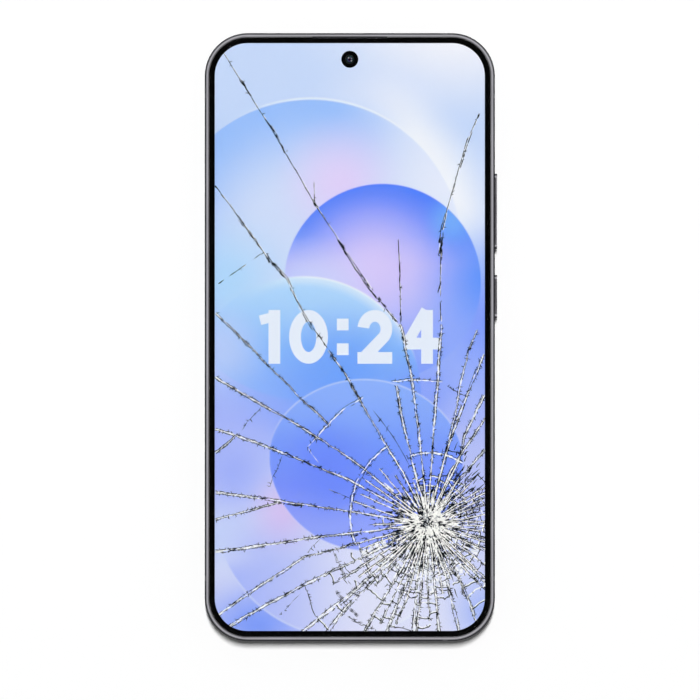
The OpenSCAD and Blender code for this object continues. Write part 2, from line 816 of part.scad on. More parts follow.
module sub_board() {
    color([0.05, 0.3, 0.25]) difference() {
        intersection() {
            slab(inner_outline, sub_z, sub_top);
            block([-half_w, -half_l, sub_z - 1], [speaker_x0 - room, bay_bottom - 2.8, sub_top + 1]);
        }
        for (p = sub_screws) rod_z(p, screw_r + 0.2, sub_z - 1, sub_top + 1);
    }
}

module sub_board_screws() {
    color([0.6, 0.6, 0.62]) for (p = sub_screws) screw(p, sub_z - 0.4, z_plate - 0.4);
}

usb_y0 = -half_l + 0.25;
usb_wall = 0.3;
usb_seal_t = 0.8;
module usb_shell() {
    color([0.7, 0.7, 0.72]) difference() {
        slot_y(usb_w, usb_h, 0, z_mid, usb_y0, usb_y0 + usb_depth);
        slot_y(usb_w - 2 * usb_wall, usb_h - 2 * usb_wall, 0, z_mid, usb_y0 - 1, usb_y0 + usb_depth - 0.6);
    }
}

module usb_tongue() {
    color([0.08, 0.08, 0.08]) union() {
        block([-3.35, usb_y0 + 1.2, z_mid - 0.35], [3.35, usb_y0 + usb_depth - 0.6, z_mid + 0.35]);
        slot_y(usb_w - 2 * usb_wall - 2 * fit, usb_h - 2 * usb_wall - 2 * fit, 0, z_mid,
               usb_y0 + usb_depth - 1.9, usb_y0 + usb_depth - 0.6);
    }
}

module usb_seal() {
    color([0.05, 0.05, 0.05]) difference() {
        slot_y(usb_w + 1 - fit, usb_h + 1 - fit, 0, z_mid, -cavity_y - usb_seal_t, -cavity_y);
        slot_y(usb_w, usb_h, 0, z_mid, -cavity_y - 1, -cavity_y + 1);
    }
}

module vibration_motor() {
    color([0.62, 0.62, 0.64]) translate([ribbon_x, bay_bottom - 8.6, 0])
        rounded_block([14.2, 8], 1.2, sub_top, z_plate - room);
}

module loudspeaker() {
    color([0.14, 0.14, 0.15]) intersection() {
        slab(inner_outline, z_cavity + 0.3, z_plate - 0.1);
        block([speaker_x0, -cavity_y + room, z_back], [cavity_x - room, bay_bottom - 0.6, z_front]);
    }
}

module speaker_mesh() {
    color([0.1, 0.1, 0.1])
        block([speaker_hole_x0 - 1.2, -cavity_y, z_mid - 1.1],
              [speaker_hole_x0 + (speaker_holes - 1) * speaker_pitch + 1.2, -cavity_y + 0.2, z_mid + 1.1]);
}

module bottom_microphone() {
    color([0.7, 0.6, 0.3])
        block([bottom_mic_x - mic_size[0] / 2, -cavity_y + room, sub_top],
              [bottom_mic_x + mic_size[0] / 2, -cavity_y + room + mic_size[1], sub_top + mic_size[2]]);
}

// Side keys ------------------------------------------------------------------

module key(length, y, stems) {
    color([0.45, 0.45, 0.5]) union() {
        slot_x(length, key_h, y, z_mid, half_w - key_in, half_w + key_proud);
        for (dy = stems) rod_x(y + dy, z_mid, stem_r, stem_end, half_w - key_in + 0.1);
    }
}

module volume_key() { key(volume_l, volume_y, [-volume_stem, volume_stem]); }

module power_key() { key(power_l, power_y, [0]); }

module side_key_flex() {
    color([0.75, 0.45, 0.15])
        block(
            [cavity_x - flex_t, power_y - 4, z_mid - 1.5],
            [cavity_x, volume_y + volume_stem + 4, z_mid + 1.5]
        );
}

module key_domes() {
    color([0.8, 0.8, 0.8]) for (y = [volume_y - volume_stem, volume_y + volume_stem, power_y])
        rod_x(y, z_mid, dome_r, cavity_x, cavity_x + dome_h);
}

// Card tray ------------------------------------------------------------------

tray_plate_w = tray_w - 1.4;
tray_y1 = -half_l + tray_head_t + tray_l;
module sim_tray() {
    y_head = -half_l + tray_head_t;
    x = tray_pos;
    color([0.45, 0.45, 0.48]) difference() {
        union() {
            slot_y(tray_w, tray_h, x, z_mid, -half_l, y_head);
            block([x - tray_plate_w / 2, y_head - 0.5, z_mid - tray_t / 2],
                  [x + tray_plate_w / 2, tray_y1, z_mid + tray_t / 2]);
        }
        block([x - 4.2, tray_y1 - 13.4, z_mid - 1], [x + 4.2, tray_y1 - 1.8, z_mid + 1]);
        block([x - 4.5, tray_y1 - 13.8, z_mid], [x + 4.5, tray_y1 - 1.4, z_mid + 1]);
    }
}

module sim_tray_seal() {
    y0 = -half_l + tray_head_t;
    x = tray_pos;
    color([0.1, 0.1, 0.1]) difference() {
        slot_y(tray_w - 0.8, tray_t + 0.6, x, z_mid, y0, y0 + 0.6);
        block([x - tray_plate_w / 2, y0 - 1, z_mid - tray_t / 2],
              [x + tray_plate_w / 2, y0 + 1, z_mid + tray_t / 2]);
    }
}

module sim_reader() {
    w = tray_plate_w / 2 + 1.1;
    x = tray_pos;
    color([0.72, 0.72, 0.74]) difference() {
        block([x - w, -cavity_y + room, sub_top], [x + w, tray_y1 + 0.6, z_mid + tray_t / 2 + 0.75]);
        block([x - tray_plate_w / 2 - room, -cavity_y - 1, z_mid - tray_t / 2 - room],
              [x + tray_plate_w / 2 + room, tray_y1 + 0.3, z_mid + tray_t / 2 + room]);
    }
}

// Back -----------------------------------------------------------------------

module back_cover() {
    color([0.2, 0.2, 0.23]) difference() {
        slab(back_rim_w, z_back, z_cover);
        translate([plate_pos[0], plate_pos[1], 0])
            rounded_block(
                [plate_side + 2 * fit, plate_side + 2 * fit], plate_r + fit, z_back - 1, z_cover + 1
            );
    }
}

module back_adhesive() {
    color([0.1, 0.1, 0.1]) difference() {
        slab(back_rim_w + 0.1, z_cover, z_cavity);
        slab(wall - 0.1, z_cover - 1, z_cavity + 1);
    }
}

frame();
antenna_breaks();
cover_glass();
display_gasket();
display_panel();
display_flex();
front_camera();
front_camera_lens();
earpiece_speaker();
earpiece_mesh();
fingerprint_sensor();
vapour_chamber();
main_board();
chips();
front_shields();
rear_shields();
board_cover();
board_screws();
main_camera();
wide_camera();
tele_camera();
camera_plate();
lens_rings();
lens_windows();
flash_led();
flash_lens();
battery();
battery_circuit();
battery_adhesive();
charging_coil();
main_flex();
sub_board();
sub_board_screws();
usb_shell();
usb_tongue();
usb_seal();
vibration_motor();
loudspeaker();
speaker_mesh();
bottom_microphone();
top_microphone();
volume_key();
power_key();
side_key_flex();
key_domes();
sim_tray();
sim_tray_seal();
sim_reader();
back_cover();
back_adhesive();
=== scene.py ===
"""A slim phone with its screen lit and its cover glass shattered, lying on its back.

Shapes are worked out in millimetres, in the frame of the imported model: +X to the right as the
screen is read, +Y towards the top edge and +Z out of the screen. They become metres when a mesh
is made.
"""

import json
import math

import bmesh
import bpy
import numpy as np
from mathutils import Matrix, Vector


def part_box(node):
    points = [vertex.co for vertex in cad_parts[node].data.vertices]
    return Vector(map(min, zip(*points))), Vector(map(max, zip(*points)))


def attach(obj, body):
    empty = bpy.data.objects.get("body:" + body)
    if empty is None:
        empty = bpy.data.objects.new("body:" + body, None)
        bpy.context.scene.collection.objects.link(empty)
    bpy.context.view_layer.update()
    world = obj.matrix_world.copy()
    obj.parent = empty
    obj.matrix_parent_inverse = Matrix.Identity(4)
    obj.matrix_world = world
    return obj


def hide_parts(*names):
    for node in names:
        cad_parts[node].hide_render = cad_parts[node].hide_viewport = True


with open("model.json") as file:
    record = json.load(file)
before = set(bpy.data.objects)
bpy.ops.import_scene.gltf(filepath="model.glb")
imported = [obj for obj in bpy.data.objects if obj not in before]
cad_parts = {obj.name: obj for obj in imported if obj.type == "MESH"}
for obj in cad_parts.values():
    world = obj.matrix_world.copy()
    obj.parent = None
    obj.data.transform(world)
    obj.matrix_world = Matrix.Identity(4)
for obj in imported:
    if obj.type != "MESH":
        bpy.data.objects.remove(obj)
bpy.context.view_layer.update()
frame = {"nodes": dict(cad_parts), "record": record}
nodes = frame["nodes"]
scene = bpy.context.scene
MM = 0.001


# Sizes taken from the frame ------------------------------------------------------------------


def box_mm(node):
    """Lowest and highest corner of a CAD node, in millimetres."""
    low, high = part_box(node)
    return np.array(low) / MM, np.array(high) / MM


def middle_of(node):
    """Middle of a node's box, seen from the front."""
    return sum(box_mm(node))[:2] / 2


half_w, half_l, z_front = box_mm("frame")[1]
glass_low, glass_high = box_mm("cover_glass")
key_top = box_mm("volume_key")[1][2]
hole_centre = middle_of("front_camera_lens")
z_glass = glass_low[2]
corner_r = 10.6                 # of the band's outline
border_inset = 2.5              # from the band's outline to the lit field
hole_r = 2.1                    # of the black disc around the front camera
impact = np.array([half_w - 16.6, -half_l + 29.0])      # where the glass was hit
glass_top = z_front - 0.12      # level of an unbroken splinter
glass_foot = z_glass + 0.02     # leaves room for what is printed under the glass


# Meshes --------------------------------------------------------------------------------------


def publish(name, points, faces, material, slot, smooth=0, body="phone", stands_for=()):
    """A mesh object from points in millimetres and faces of point numbers, riding on a body.
    smooth is the angle in degrees under which neighbouring faces shade as one surface."""
    mesh = bpy.data.meshes.new(name)
    mesh.from_pydata((np.asarray(points) * MM).tolist(), [], [list(map(int, f)) for f in faces])
    mesh.materials.append(material)
    mesh.update()
    if smooth:
        mesh.shade_smooth()
        mesh.set_sharp_from_angle(angle=math.radians(smooth))
    piece = bpy.data.objects.new(name, mesh)
    scene.collection.objects.link(piece)
    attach(piece, body)
    if stands_for:
        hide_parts(*stands_for)


def joined(parts):
    """Points and faces of several (points, faces) pairs as one pair."""
    points, faces, start = [], [], 0
    for part_points, part_faces in parts:
        points.append(np.asarray(part_points, float))
        faces.extend((np.asarray(f) + start).tolist() for f in part_faces)
        start += len(part_points)
    return np.concatenate(points), faces


def rounded_outline(half_x, half_y, radius, steps=14):
    """Points round a rectangle whose corners are quarter circles: corner centre plus radius
    times (cosine, sine) of the angle, quarter after quarter, anticlockwise."""
    turn = np.linspace(0, math.pi / 2, steps)
    quarters = []
    for k, (sx, sy) in enumerate(((1, 1), (-1, 1), (-1, -1), (1, -1))):
        angle = turn + k * math.pi / 2
        centre = np.array([sx * (half_x - radius), sy * (half_y - radius)])
        quarters.append(centre + radius * np.column_stack([np.cos(angle), np.sin(angle)]))
    return np.concatenate(quarters)


def band_outline(inset):
    """The band's outline moved inwards by inset."""
    return rounded_outline(half_w - inset, half_l - inset, corner_r - inset)


def inset_depth(x, y, inset):
    """How far a point lies inside the band's outline moved inwards by inset: the radius less
    the distance from the rectangle that joins the four corner centres."""
    radius = corner_r - inset
    qx = np.abs(x) - (half_w - inset - radius)
    qy = np.abs(y) - (half_l - inset - radius)
    outside = np.hypot(np.maximum(qx, 0), np.maximum(qy, 0))
    return radius - outside - np.minimum(np.maximum(qx, qy), 0)


def loft(rings, closed=False):
    """Quads between rings of equally many points, each ring a closed loop. The first and last
    ring are joined when closed is true, and capped with one face each otherwise."""
    rings = np.asarray(rings, float)
    count, size = rings.shape[:2]
    i = np.arange(count if closed else count - 1)[:, None] * size
    j = np.arange(size)[None, :]
    k = (j + 1) % size
    after = (i + size) % (count * size)
    quads = np.stack([i + j, i + k, after + k, after + j], -1).reshape(-1, 4).tolist()
    if not closed:
        quads.append(list(range(size))[::-1])
        quads.append(list(range((count - 1) * size, count * size)))
    return rings.reshape(-1, 3), quads


def at_level(outline, level):
    """A flat outline lifted to a level."""
    return np.column_stack([outline, np.full(len(outline), float(level))])


def around(steps):
    """Points round a circle of radius 1, anticlockwise: cosine and sine of even turns."""
    angle = np.linspace(0, 2 * math.pi, steps, endpoint=False)
    return np.column_stack([np.cos(angle), np.sin(angle)])


def turned(profile, centre, steps=48):
    """A profile of (radius, level) pairs turned about an upright axis through centre. The
    profile runs from the axis at the bottom, outwards and up to the axis at the top."""
    circle = around(steps)
    return loft([at_level(np.asarray(centre) + max(r, 0.004) * circle, z) for r, z in profile])


def refined(node, width):
    """A copy of a CAD node with its doubles merged and its flat faces joined, so that it can
    shade smoothly and carry a small bevel of a width. It stands for the node."""
    mesh = bpy.data.meshes.new(node + "_fine")
    work = bmesh.new()
    work.from_mesh(nodes[node].data)
    bmesh.ops.remove_doubles(work, verts=work.verts, dist=2e-6)
    bmesh.ops.dissolve_limit(work, angle_limit=math.radians(0.6), verts=work.verts, edges=work.edges)
    bmesh.ops.recalc_face_normals(work, faces=work.faces)
    work.to_mesh(mesh)
    work.free()
    mesh.shade_smooth()
    mesh.set_sharp_from_angle(angle=math.radians(35))
    slot = slot_of[node]
    mesh.materials.clear()
    mesh.materials.append(finishes[slot])
    piece = bpy.data.objects.new(node + "_fine", mesh)
    scene.collection.objects.link(piece)
    bevel = piece.modifiers.new("edge", "BEVEL")
    bevel.width = width * MM
    bevel.segments = 2
    bevel.limit_method = "ANGLE"
    bevel.angle_limit = math.radians(40)
    bevel.harden_normals = False
    weighted = piece.modifiers.new("shading", "WEIGHTED_NORMAL")
    weighted.keep_sharp = True
    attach(piece, body_of[node])
    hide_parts(node)


slot_of = {s["node"]: s["material_slot"] for s in frame["record"]["subparts"]}
body_of = {n: b for b, ns in frame["record"]["behaviour"]["bodies"].items() for n in ns}


# Node graphs ---------------------------------------------------------------------------------


def shade(red, green, blue):
    """The linear colour of a display colour given from 0 to 255."""
    c = np.array([red, green, blue]) / 255
    linear = np.where(c <= 0.04045, c / 12.92, ((c + 0.055) / 1.055) ** 2.4)
    return (*linear.tolist(), 1.0)


class Graph:
    """Short calls for the nodes of one material or world."""

    def __init__(self, owner):
        owner.use_nodes = True
        self.tree = owner.node_tree
        self.shader = self.tree.nodes.get("Principled BSDF")

    def add(self, kind, *values, **settings):
        """A node of a kind. values feed its inputs in order, and None skips one."""
        node = self.tree.nodes.new("ShaderNode" + kind)
        for key, value in settings.items():
            setattr(node, key, value)
        for socket, value in zip(node.inputs, values):
            self.feed(socket, value)
        return node

    def feed(self, socket, value):
        """Links a socket to another one, or sets its own value."""
        if value is None:
            return
        if isinstance(value, bpy.types.NodeSocket):
            self.tree.links.new(value, socket)
        else:
            socket.default_value = value

    def maths(self, operation, a, b=None, c=None):
        """The result of an operation on numbers."""
        return self.add("Math", a, b, c, operation=operation).outputs[0]

    def product(self, *factors):
        """Numbers multiplied with each other."""
        result = factors[0]
        for factor in factors[1:]:
            result = self.maths("MULTIPLY", result, factor)
        return result

    def vector(self, operation, a, b=None):
        """The result of an operation on vectors, which is a number for a length or distance."""
        node = self.add("VectorMath", a, b, operation=operation)
        return node.outputs["Value" if operation in ("LENGTH", "DISTANCE") else 0]

    def blend(self, factor, a, b):
        """Colour a turning into colour b as factor goes from 0 to 1."""
        node = self.add("Mix", data_type="RGBA")
        self.feed(node.inputs[0], factor)
        self.feed(node.inputs[6], a)
        self.feed(node.inputs[7], b)
        return node.outputs[2]

    def fade(self, value, start, end, low=0.0, high=1.0):
        """A smooth step of value from low at start to high at end."""
        node = self.add("MapRange", interpolation_type="SMOOTHSTEP")
        for socket, number in zip(node.inputs, (value, start, end, low, high)):
            self.feed(socket, number)
        return node.outputs[0]

    def ramp(self, value, stops):
        """Colours along value, given as (place, colour) pairs."""
        node = self.add("ValToRGB", value)
        bar = node.color_ramp.elements
        bar[0].position, bar[0].color = stops[0]
        bar[1].position, bar[1].color = stops[-1]
        for place, colour in stops[1:-1]:
            bar.new(place).color = colour
        return node.outputs[0]

    def place(self):
        """Object coordinates in millimetres."""
        source = self.add("TexCoord").outputs["Object"]
        node = self.add("VectorMath", source, operation="SCALE")
        node.inputs["Scale"].default_value = 1 / MM
        return node.outputs[0]

    def noise(self, at, scale, detail=3.0, rough=0.5, stretch=None):
        """Soft noise from 0 to 1, with scale in waves a millimetre."""
        if stretch is not None:
            at = self.vector("MULTIPLY", at, stretch)
        node = self.add("TexNoise", at)
        node.inputs["Scale"].default_value = scale
        node.inputs["Detail"].default_value = detail
        node.inputs["Roughness"].default_value = rough
        return node.outputs[0]

    def bump(self, height, depth):
        """A bump of depth in millimetres on the shader."""
        node = self.add("Bump")
        node.inputs["Distance"].default_value = depth * MM
        node.inputs["Strength"].default_value = 1.0
        self.feed(node.inputs["Height"], height)
        self.feed(self.shader.inputs["Normal"], node.outputs[0])


def new_finish(name, metallic=0.0, roughness=0.5, specular=0.5, coat=0.0):
    """A material and its graph, with its constants set on the shader."""
    material = bpy.data.materials.new(name)
    graph = Graph(material)
    for key, value in (
        ("Metallic", metallic),
        ("Roughness", roughness),
        ("Specular IOR Level", specular),
        ("Coat Weight", coat),
    ):
        graph.shader.inputs[key].default_value = value
    return material, graph


def grained(name, dark, light, scale, metallic=0.0, roughness=0.5, spread=0.08, depth=0.0,
            stretch=None, coat=0.0, specular=0.5):
    """A finish whose colour and roughness wander a little with a fine grain and slow clouds."""
    material, g = new_finish(name, metallic, roughness, specular, coat)
    at = g.place()
    grain = g.noise(at, scale, stretch=stretch)
    cloud = g.noise(at, 0.05, 2.0)
    mixed = g.maths("ADD", g.product(grain, 0.65), g.product(cloud, 0.35))
    level = g.fade(mixed, 0.3, 0.7)
    g.feed(g.shader.inputs["Base Color"], g.blend(level, (*dark, 1), (*light, 1)))
    low, high = max(0.02, roughness - spread), min(1.0, roughness + spread)
    g.feed(g.shader.inputs["Roughness"], g.fade(mixed, 0.3, 0.7, low, high))
    if depth:
        g.bump(grain, depth)
    return material


def anodised_with_painted_shade(name, side, rim, low, high):
    """Satin anodised aluminium with painted shade: darker on the sides and outer shoulder and
    lighter on the front rim, set by height in place of how the light falls. The colour turns
    from side to rim between two levels."""
    material, g = new_finish(name, 1.0, 0.3)
    g.shader.inputs["Specular Tint"].default_value = (0.25, 0.25, 0.26, 1)
    at = g.place()
    grain = g.noise(at, 9.0, 2.0)
    height = g.add("SeparateXYZ", at).outputs[2]
    colour = g.blend(g.fade(height, low, high), (*side, 1), (*rim, 1))
    tint = g.fade(g.noise(at, 0.07, 3.0), 0.35, 0.65, 0.94, 1.05)
    colour = g.vector("SCALE", colour)
    g.feed(colour.node.inputs["Scale"], tint)
    g.feed(g.shader.inputs["Base Color"], colour)
    g.feed(g.shader.inputs["Roughness"], g.fade(grain, 0.3, 0.7, 0.27, 0.36))
    g.bump(grain, 0.0012)
    return material


def printed_board(name):
    """Green solder resist with rows of gold pads."""
    material, g = new_finish(name, 0.0, 0.35)
    at = g.place()
    cells = g.add("TexVoronoi", at, distance="CHEBYCHEV", feature="F1")
    cells.inputs["Scale"].default_value = 0.7
    cells.inputs["Randomness"].default_value = 0.35
    pads = g.maths("LESS_THAN", cells.outputs["Distance"], 0.22)
    tracks = g.fade(g.noise(at, 1.4, 4.0, stretch=(1.0, 0.25, 1.0)), 0.46, 0.54)
    resist = g.blend(tracks, (0.012, 0.09, 0.065, 1), (0.02, 0.16, 0.11, 1))
    g.feed(g.shader.inputs["Base Color"], g.blend(pads, resist, (0.55, 0.4, 0.14, 1)))
    g.feed(g.shader.inputs["Metallic"], pads)
    g.bump(pads, 0.02)
    return material


def woven_mesh(name):
    """Black wire mesh: two crossed waves, dark where both are low."""
    material, g = new_finish(name, 0.6, 0.45)
    at = g.place()
    parts = g.add("SeparateXYZ", at).outputs
    waves = [g.maths("SINE", g.product(part, 34.0)) for part in parts[:3]]
    weave = g.product(waves[0], g.maths("ADD", waves[1], waves[2]))
    level = g.fade(weave, -0.6, 0.6)
    colour = g.blend(level, (0.004, 0.004, 0.005, 1), (0.09, 0.09, 0.1, 1))
    g.feed(g.shader.inputs["Base Color"], colour)
    g.bump(level, 0.03)
    return material


def coated_glass(name, tint):
    """Dark coated lens glass: deep colour under a clear, hard reflection."""
    material, g = new_finish(name, 0.0, 0.0, 0.6, 1.0)
    g.shader.inputs["Coat Roughness"].default_value = 0.02
    at = g.place()
    cloud = g.fade(g.noise(at, 0.35, 2.0), 0.3, 0.7)
    brighter = tuple(2 * part for part in tint)
    g.feed(g.shader.inputs["Base Color"], g.blend(cloud, (*tint, 1), (*brighter, 1)))
    return material


def clear_glass(name, bending=1.5):
    """Clear glass, or a coated pane with little reflection where bending is near 1."""
    material, g = new_finish(name, 0.0, 0.0)
    g.shader.inputs["Base Color"].default_value = (1, 1, 1, 1)
    g.shader.inputs["Transmission Weight"].default_value = 1.0
    g.shader.inputs["IOR"].default_value = bending
    return material


# The picture on the screen -------------------------------------------------------------------


def lit_screen(name):
    """The lit field: soft overlapping discs of blue, lilac and white on a pale ground, black
    outside the field, in the hole for the camera and on every face but the front one."""
    material, g = new_finish(name, 0.0, 0.3)
    g.shader.inputs["Base Color"].default_value = (0.0, 0.0, 0.0, 1)
    g.shader.inputs["Emission Strength"].default_value = 1.0
    at = g.place()
    x, y, z = g.add("SeparateXYZ", at).outputs[:3]
    flat = g.add("CombineXYZ", x, y, 0.0).outputs[0]

    def distance(cx, cy, sx=1.0, sy=1.0):
        """Distance from a centre, in a plane that may be stretched."""
        away = g.vector("SUBTRACT", flat, (cx, cy, 0.0))
        if (sx, sy) != (1.0, 1.0):
            away = g.vector("DIVIDE", away, (sx, sy, 1.0))
        return g.vector("LENGTH", away)

    def glow(ground, cx, cy, radius, colour, strength=1.0, sx=1.0, sy=1.0):
        """A soft cloud of a colour that is gone at radius. sx and sy stretch it."""
        factor = g.fade(distance(cx, cy, sx, sy), radius, 0.0, 0.0, strength)
        return g.blend(factor, ground, shade(*colour))

    def disc(cx, cy, radius, soft=0.25):
        """1 inside a circle and 0 outside, over a soft edge."""
        return g.fade(distance(cx, cy), radius + soft, radius - soft)

    def rim(cx, cy, radius, width, x0, x1):
        """A bright line inside a circle's edge, which fades out along X from x0 to x1."""
        away = distance(cx, cy)
        inner = g.fade(away, radius - width, radius)
        inside = g.fade(away, radius + 0.2, radius - 0.2)
        return g.product(inner, inside, g.fade(x, x0, x1))

    def edge(cx, cy, radius, width, strength, shown):
        """A thin light line along a circle, where shown is 1."""
        beyond = g.maths("SUBTRACT", distance(cx, cy), radius)
        line = g.fade(g.maths("ABSOLUTE", beyond), width, 0.0)
        return g.product(line, shown, strength)

    white = shade(240, 247, 255)
    ground = g.ramp(g.fade(y, -half_l, half_l), [
        (0.0, shade(222, 226, 251)),
        (0.10, shade(206, 214, 252)),
        (0.30, shade(164, 181, 253)),
        (0.5, shade(172, 196, 254)),
        (0.66, shade(178, 208, 254)),
        (0.84, shade(190, 214, 253)),
        (1.0, shade(198, 218, 252)),
    ])
    for cloud in (
        (28, 80, 38, (250, 250, 255), 1.0, 1.2, 0.8),
        (8, 60, 16, (222, 232, 254), 0.7, 1.3, 0.6),
        (-34, 18, 24, (174, 218, 254), 0.9),
        (36, 40, 20, (206, 223, 254), 0.7),
        (34, 24, 10, (176, 200, 254), 0.6),
        (34, 4, 26, (124, 154, 254), 0.95),
        (29, -38, 25, (184, 194, 248), 0.95, 0.8, 1.0),
        (34, -68, 14, (146, 174, 251), 0.8),
        (-34, -50, 14, (192, 209, 253), 0.8),
        (-23, -71, 20, (126, 157, 252), 1.0, 1.25, 0.85),
    ):
        ground = glow(ground, *cloud)

    # A: the largest disc, at the top, with a pale crescent to its right
    away_a = distance(-9.6, 21.5)
    beside_a = g.product(g.fade(away_a, 50, 37.5), g.fade(x, 2, 18), g.fade(y, 18, 34), 0.9)
    ground = g.blend(beside_a, ground, shade(246, 249, 255))
    outer_a = g.product(g.fade(away_a, 15, 37), g.fade(x, 18, -6))
    inside_a = g.blend(outer_a, shade(206, 222, 253), shade(150, 191, 254))
    for cloud in (
        (-2, 38, 19, (228, 208, 252), 0.85),
        (25, 38, 25, (236, 241, 255), 0.8),
        (-30, 14, 20, (170, 216, 254), 0.85),
    ):
        inside_a = glow(inside_a, *cloud)
    picture = g.blend(disc(-9.6, 21.5, 37.3), ground, inside_a)
    shown_a = g.product(g.fade(y, 30, 52), g.fade(x, -32, -12))
    picture = g.blend(edge(-9.6, 21.5, 37.5, 0.6, 0.6, shown_a), picture, white)

    # B: the blue and lilac disc in front of it
    inside_b = g.ramp(g.fade(y, -10, 38), [
        (0.0, shade(136, 166, 254)),
        (0.35, shade(160, 178, 254)),
        (0.62, shade(176, 180, 254)),
        (0.82, shade(100, 142, 254)),
        (1.0, shade(62, 122, 254)),
    ])
    for cloud in (
        (6, 17, 23, (216, 202, 253), 0.95),
        (36, 15, 22, (78, 144, 255), 1.0),
        (-10, 8, 20, (214, 226, 255), 0.75),
        (25, 29, 8, (120, 184, 254), 0.7),
    ):
        inside_b = glow(inside_b, *cloud)
    picture = g.blend(disc(8.1, 13.6, 24.3), picture, inside_b)

    # C: the sky blue disc behind the clock, which fades out to the lower left
    inside_c = g.ramp(g.fade(y, -22, 16), [
        (0.0, shade(122, 160, 254)),
        (0.5, shade(132, 184, 254)),
        (1.0, shade(174, 216, 254)),
    ])
    inside_c = glow(inside_c, -2, -9, 20, (104, 160, 254), 0.85)
    across_c = g.maths("ADD", x, g.product(y, 0.8))
    around_c = g.product(disc(-11.6, -14.3, 29.2), g.fade(across_c, -48, -18))
    picture = g.blend(around_c, picture, inside_c)
    rim_c = g.product(rim(-11.6, -14.3, 29.2, 3.0, -30, -10), g.fade(y, -6, 6), 0.5)
    picture = g.blend(rim_c, picture, white)
    shown_c = g.product(g.fade(x, -20, -8), g.fade(y, -8, 4))
    picture = g.blend(edge(-11.6, -14.3, 29.2, 0.5, 0.6, shown_c), picture, white)

    for cloud in (
        (-32, -3, 14, (188, 208, 253), 0.8),
        (19, -13, 12, (116, 148, 253), 0.6),
        (-29, -34, 14, (146, 166, 253), 0.7),
        (-16.5, -45, 13.5, (218, 192, 243), 0.85, 0.8, 1.1),
    ):
        picture = glow(picture, *cloud)

    # E: the pale disc at the bottom, soft but for its lowest edge
    soft_e = disc(-2, -43, 27, 6)
    inside_e = g.ramp(g.fade(x, -30, 8), [
        (0.0, shade(168, 184, 252)),
        (0.45, shade(190, 200, 251)),
        (1.0, shade(226, 229, 252)),
    ])
    crisp_e = g.maths("SUBTRACT", disc(-2, -43, 31, 0.3), soft_e)
    whole_e = g.maths("MULTIPLY_ADD", crisp_e, g.fade(y, -52, -60), soft_e)
    picture = g.blend(g.product(whole_e, g.fade(y, -40, -58)), picture, inside_e)
    picture = g.blend(edge(-2, -43, 31, 0.5, 0.3, g.fade(y, -56, -64)), picture, white)

    # D: the deep blue disc below the clock, where two circles overlap
    wide_d = g.maths("SUBTRACT", distance(3.5, -37.5), 27.0)
    left_d = g.maths("SUBTRACT", distance(4.2, -28.5), 24.3)
    away_d = g.maths("SMOOTH_MAX", wide_d, left_d, 5.0)
    inside_d = g.ramp(g.fade(y, -54, -10), [
        (0.0, shade(140, 160, 254)),
        (0.35, shade(106, 138, 254)),
        (0.7, shade(114, 152, 254)),
        (1.0, shade(138, 176, 254)),
    ])
    inside_d = glow(inside_d, -6, -33, 16, (94, 128, 254), 0.8)
    picture = g.blend(g.fade(away_d, 0.3, -0.3, 0.0, 0.92), picture, inside_d)
    line_d = g.product(g.fade(g.maths("ABSOLUTE", away_d), 0.45, 0.0), g.fade(y, -26, -18, 0.1, 0.3))
    picture = g.blend(line_d, picture, white)

    # the lit field's outline, the camera's hole and the front face
    qx = g.maths("SUBTRACT", g.maths("ABSOLUTE", x), half_w - corner_r)
    qy = g.maths("SUBTRACT", g.maths("ABSOLUTE", y), half_l - corner_r)
    beyond = g.add("CombineXYZ", g.maths("MAXIMUM", qx, 0.0), g.maths("MAXIMUM", qy, 0.0), 0.0)
    field_r = corner_r - border_inset
    corners = g.fade(g.vector("LENGTH", beyond.outputs[0]), field_r + 0.04, field_r - 0.04)
    sides = g.maths("LESS_THAN", g.maths("MAXIMUM", qx, qy), field_r)
    hole = g.fade(distance(*hole_centre), hole_r - 0.05, hole_r + 0.05)
    front = g.maths("GREATER_THAN", z, z_glass - 0.01)
    shown = g.product(corners, sides, hole, front)
    g.feed(g.shader.inputs["Emission Color"], g.blend(shown, (0, 0, 0, 1), picture))
    return material


def self_lit(name, colour):
    """An even lit colour."""
    material, g = new_finish(name, 0.0, 0.5)
    g.shader.inputs["Base Color"].default_value = (0.0, 0.0, 0.0, 1)
    g.shader.inputs["Emission Color"].default_value = colour
    g.shader.inputs["Emission Strength"].default_value = 1.0
    return material


def splinter(name, dark, light, roughness=0.5, specular=0.3):
    """A broken glass edge: flecked between a darker and a lighter tone."""
    material, g = new_finish(name, 0.0, roughness, specular)
    at = g.place()
    fleck = g.fade(g.noise(at, 1.6, 3.0, 0.6), 0.38, 0.62)
    g.feed(g.shader.inputs["Base Color"], g.blend(fleck, (*dark, 1), (*light, 1)))
    return material


painted_shade_low, painted_shade_high = z_front - 0.45, z_front - 0.03      # levels between which the band's painted shade turns into its lighter rim
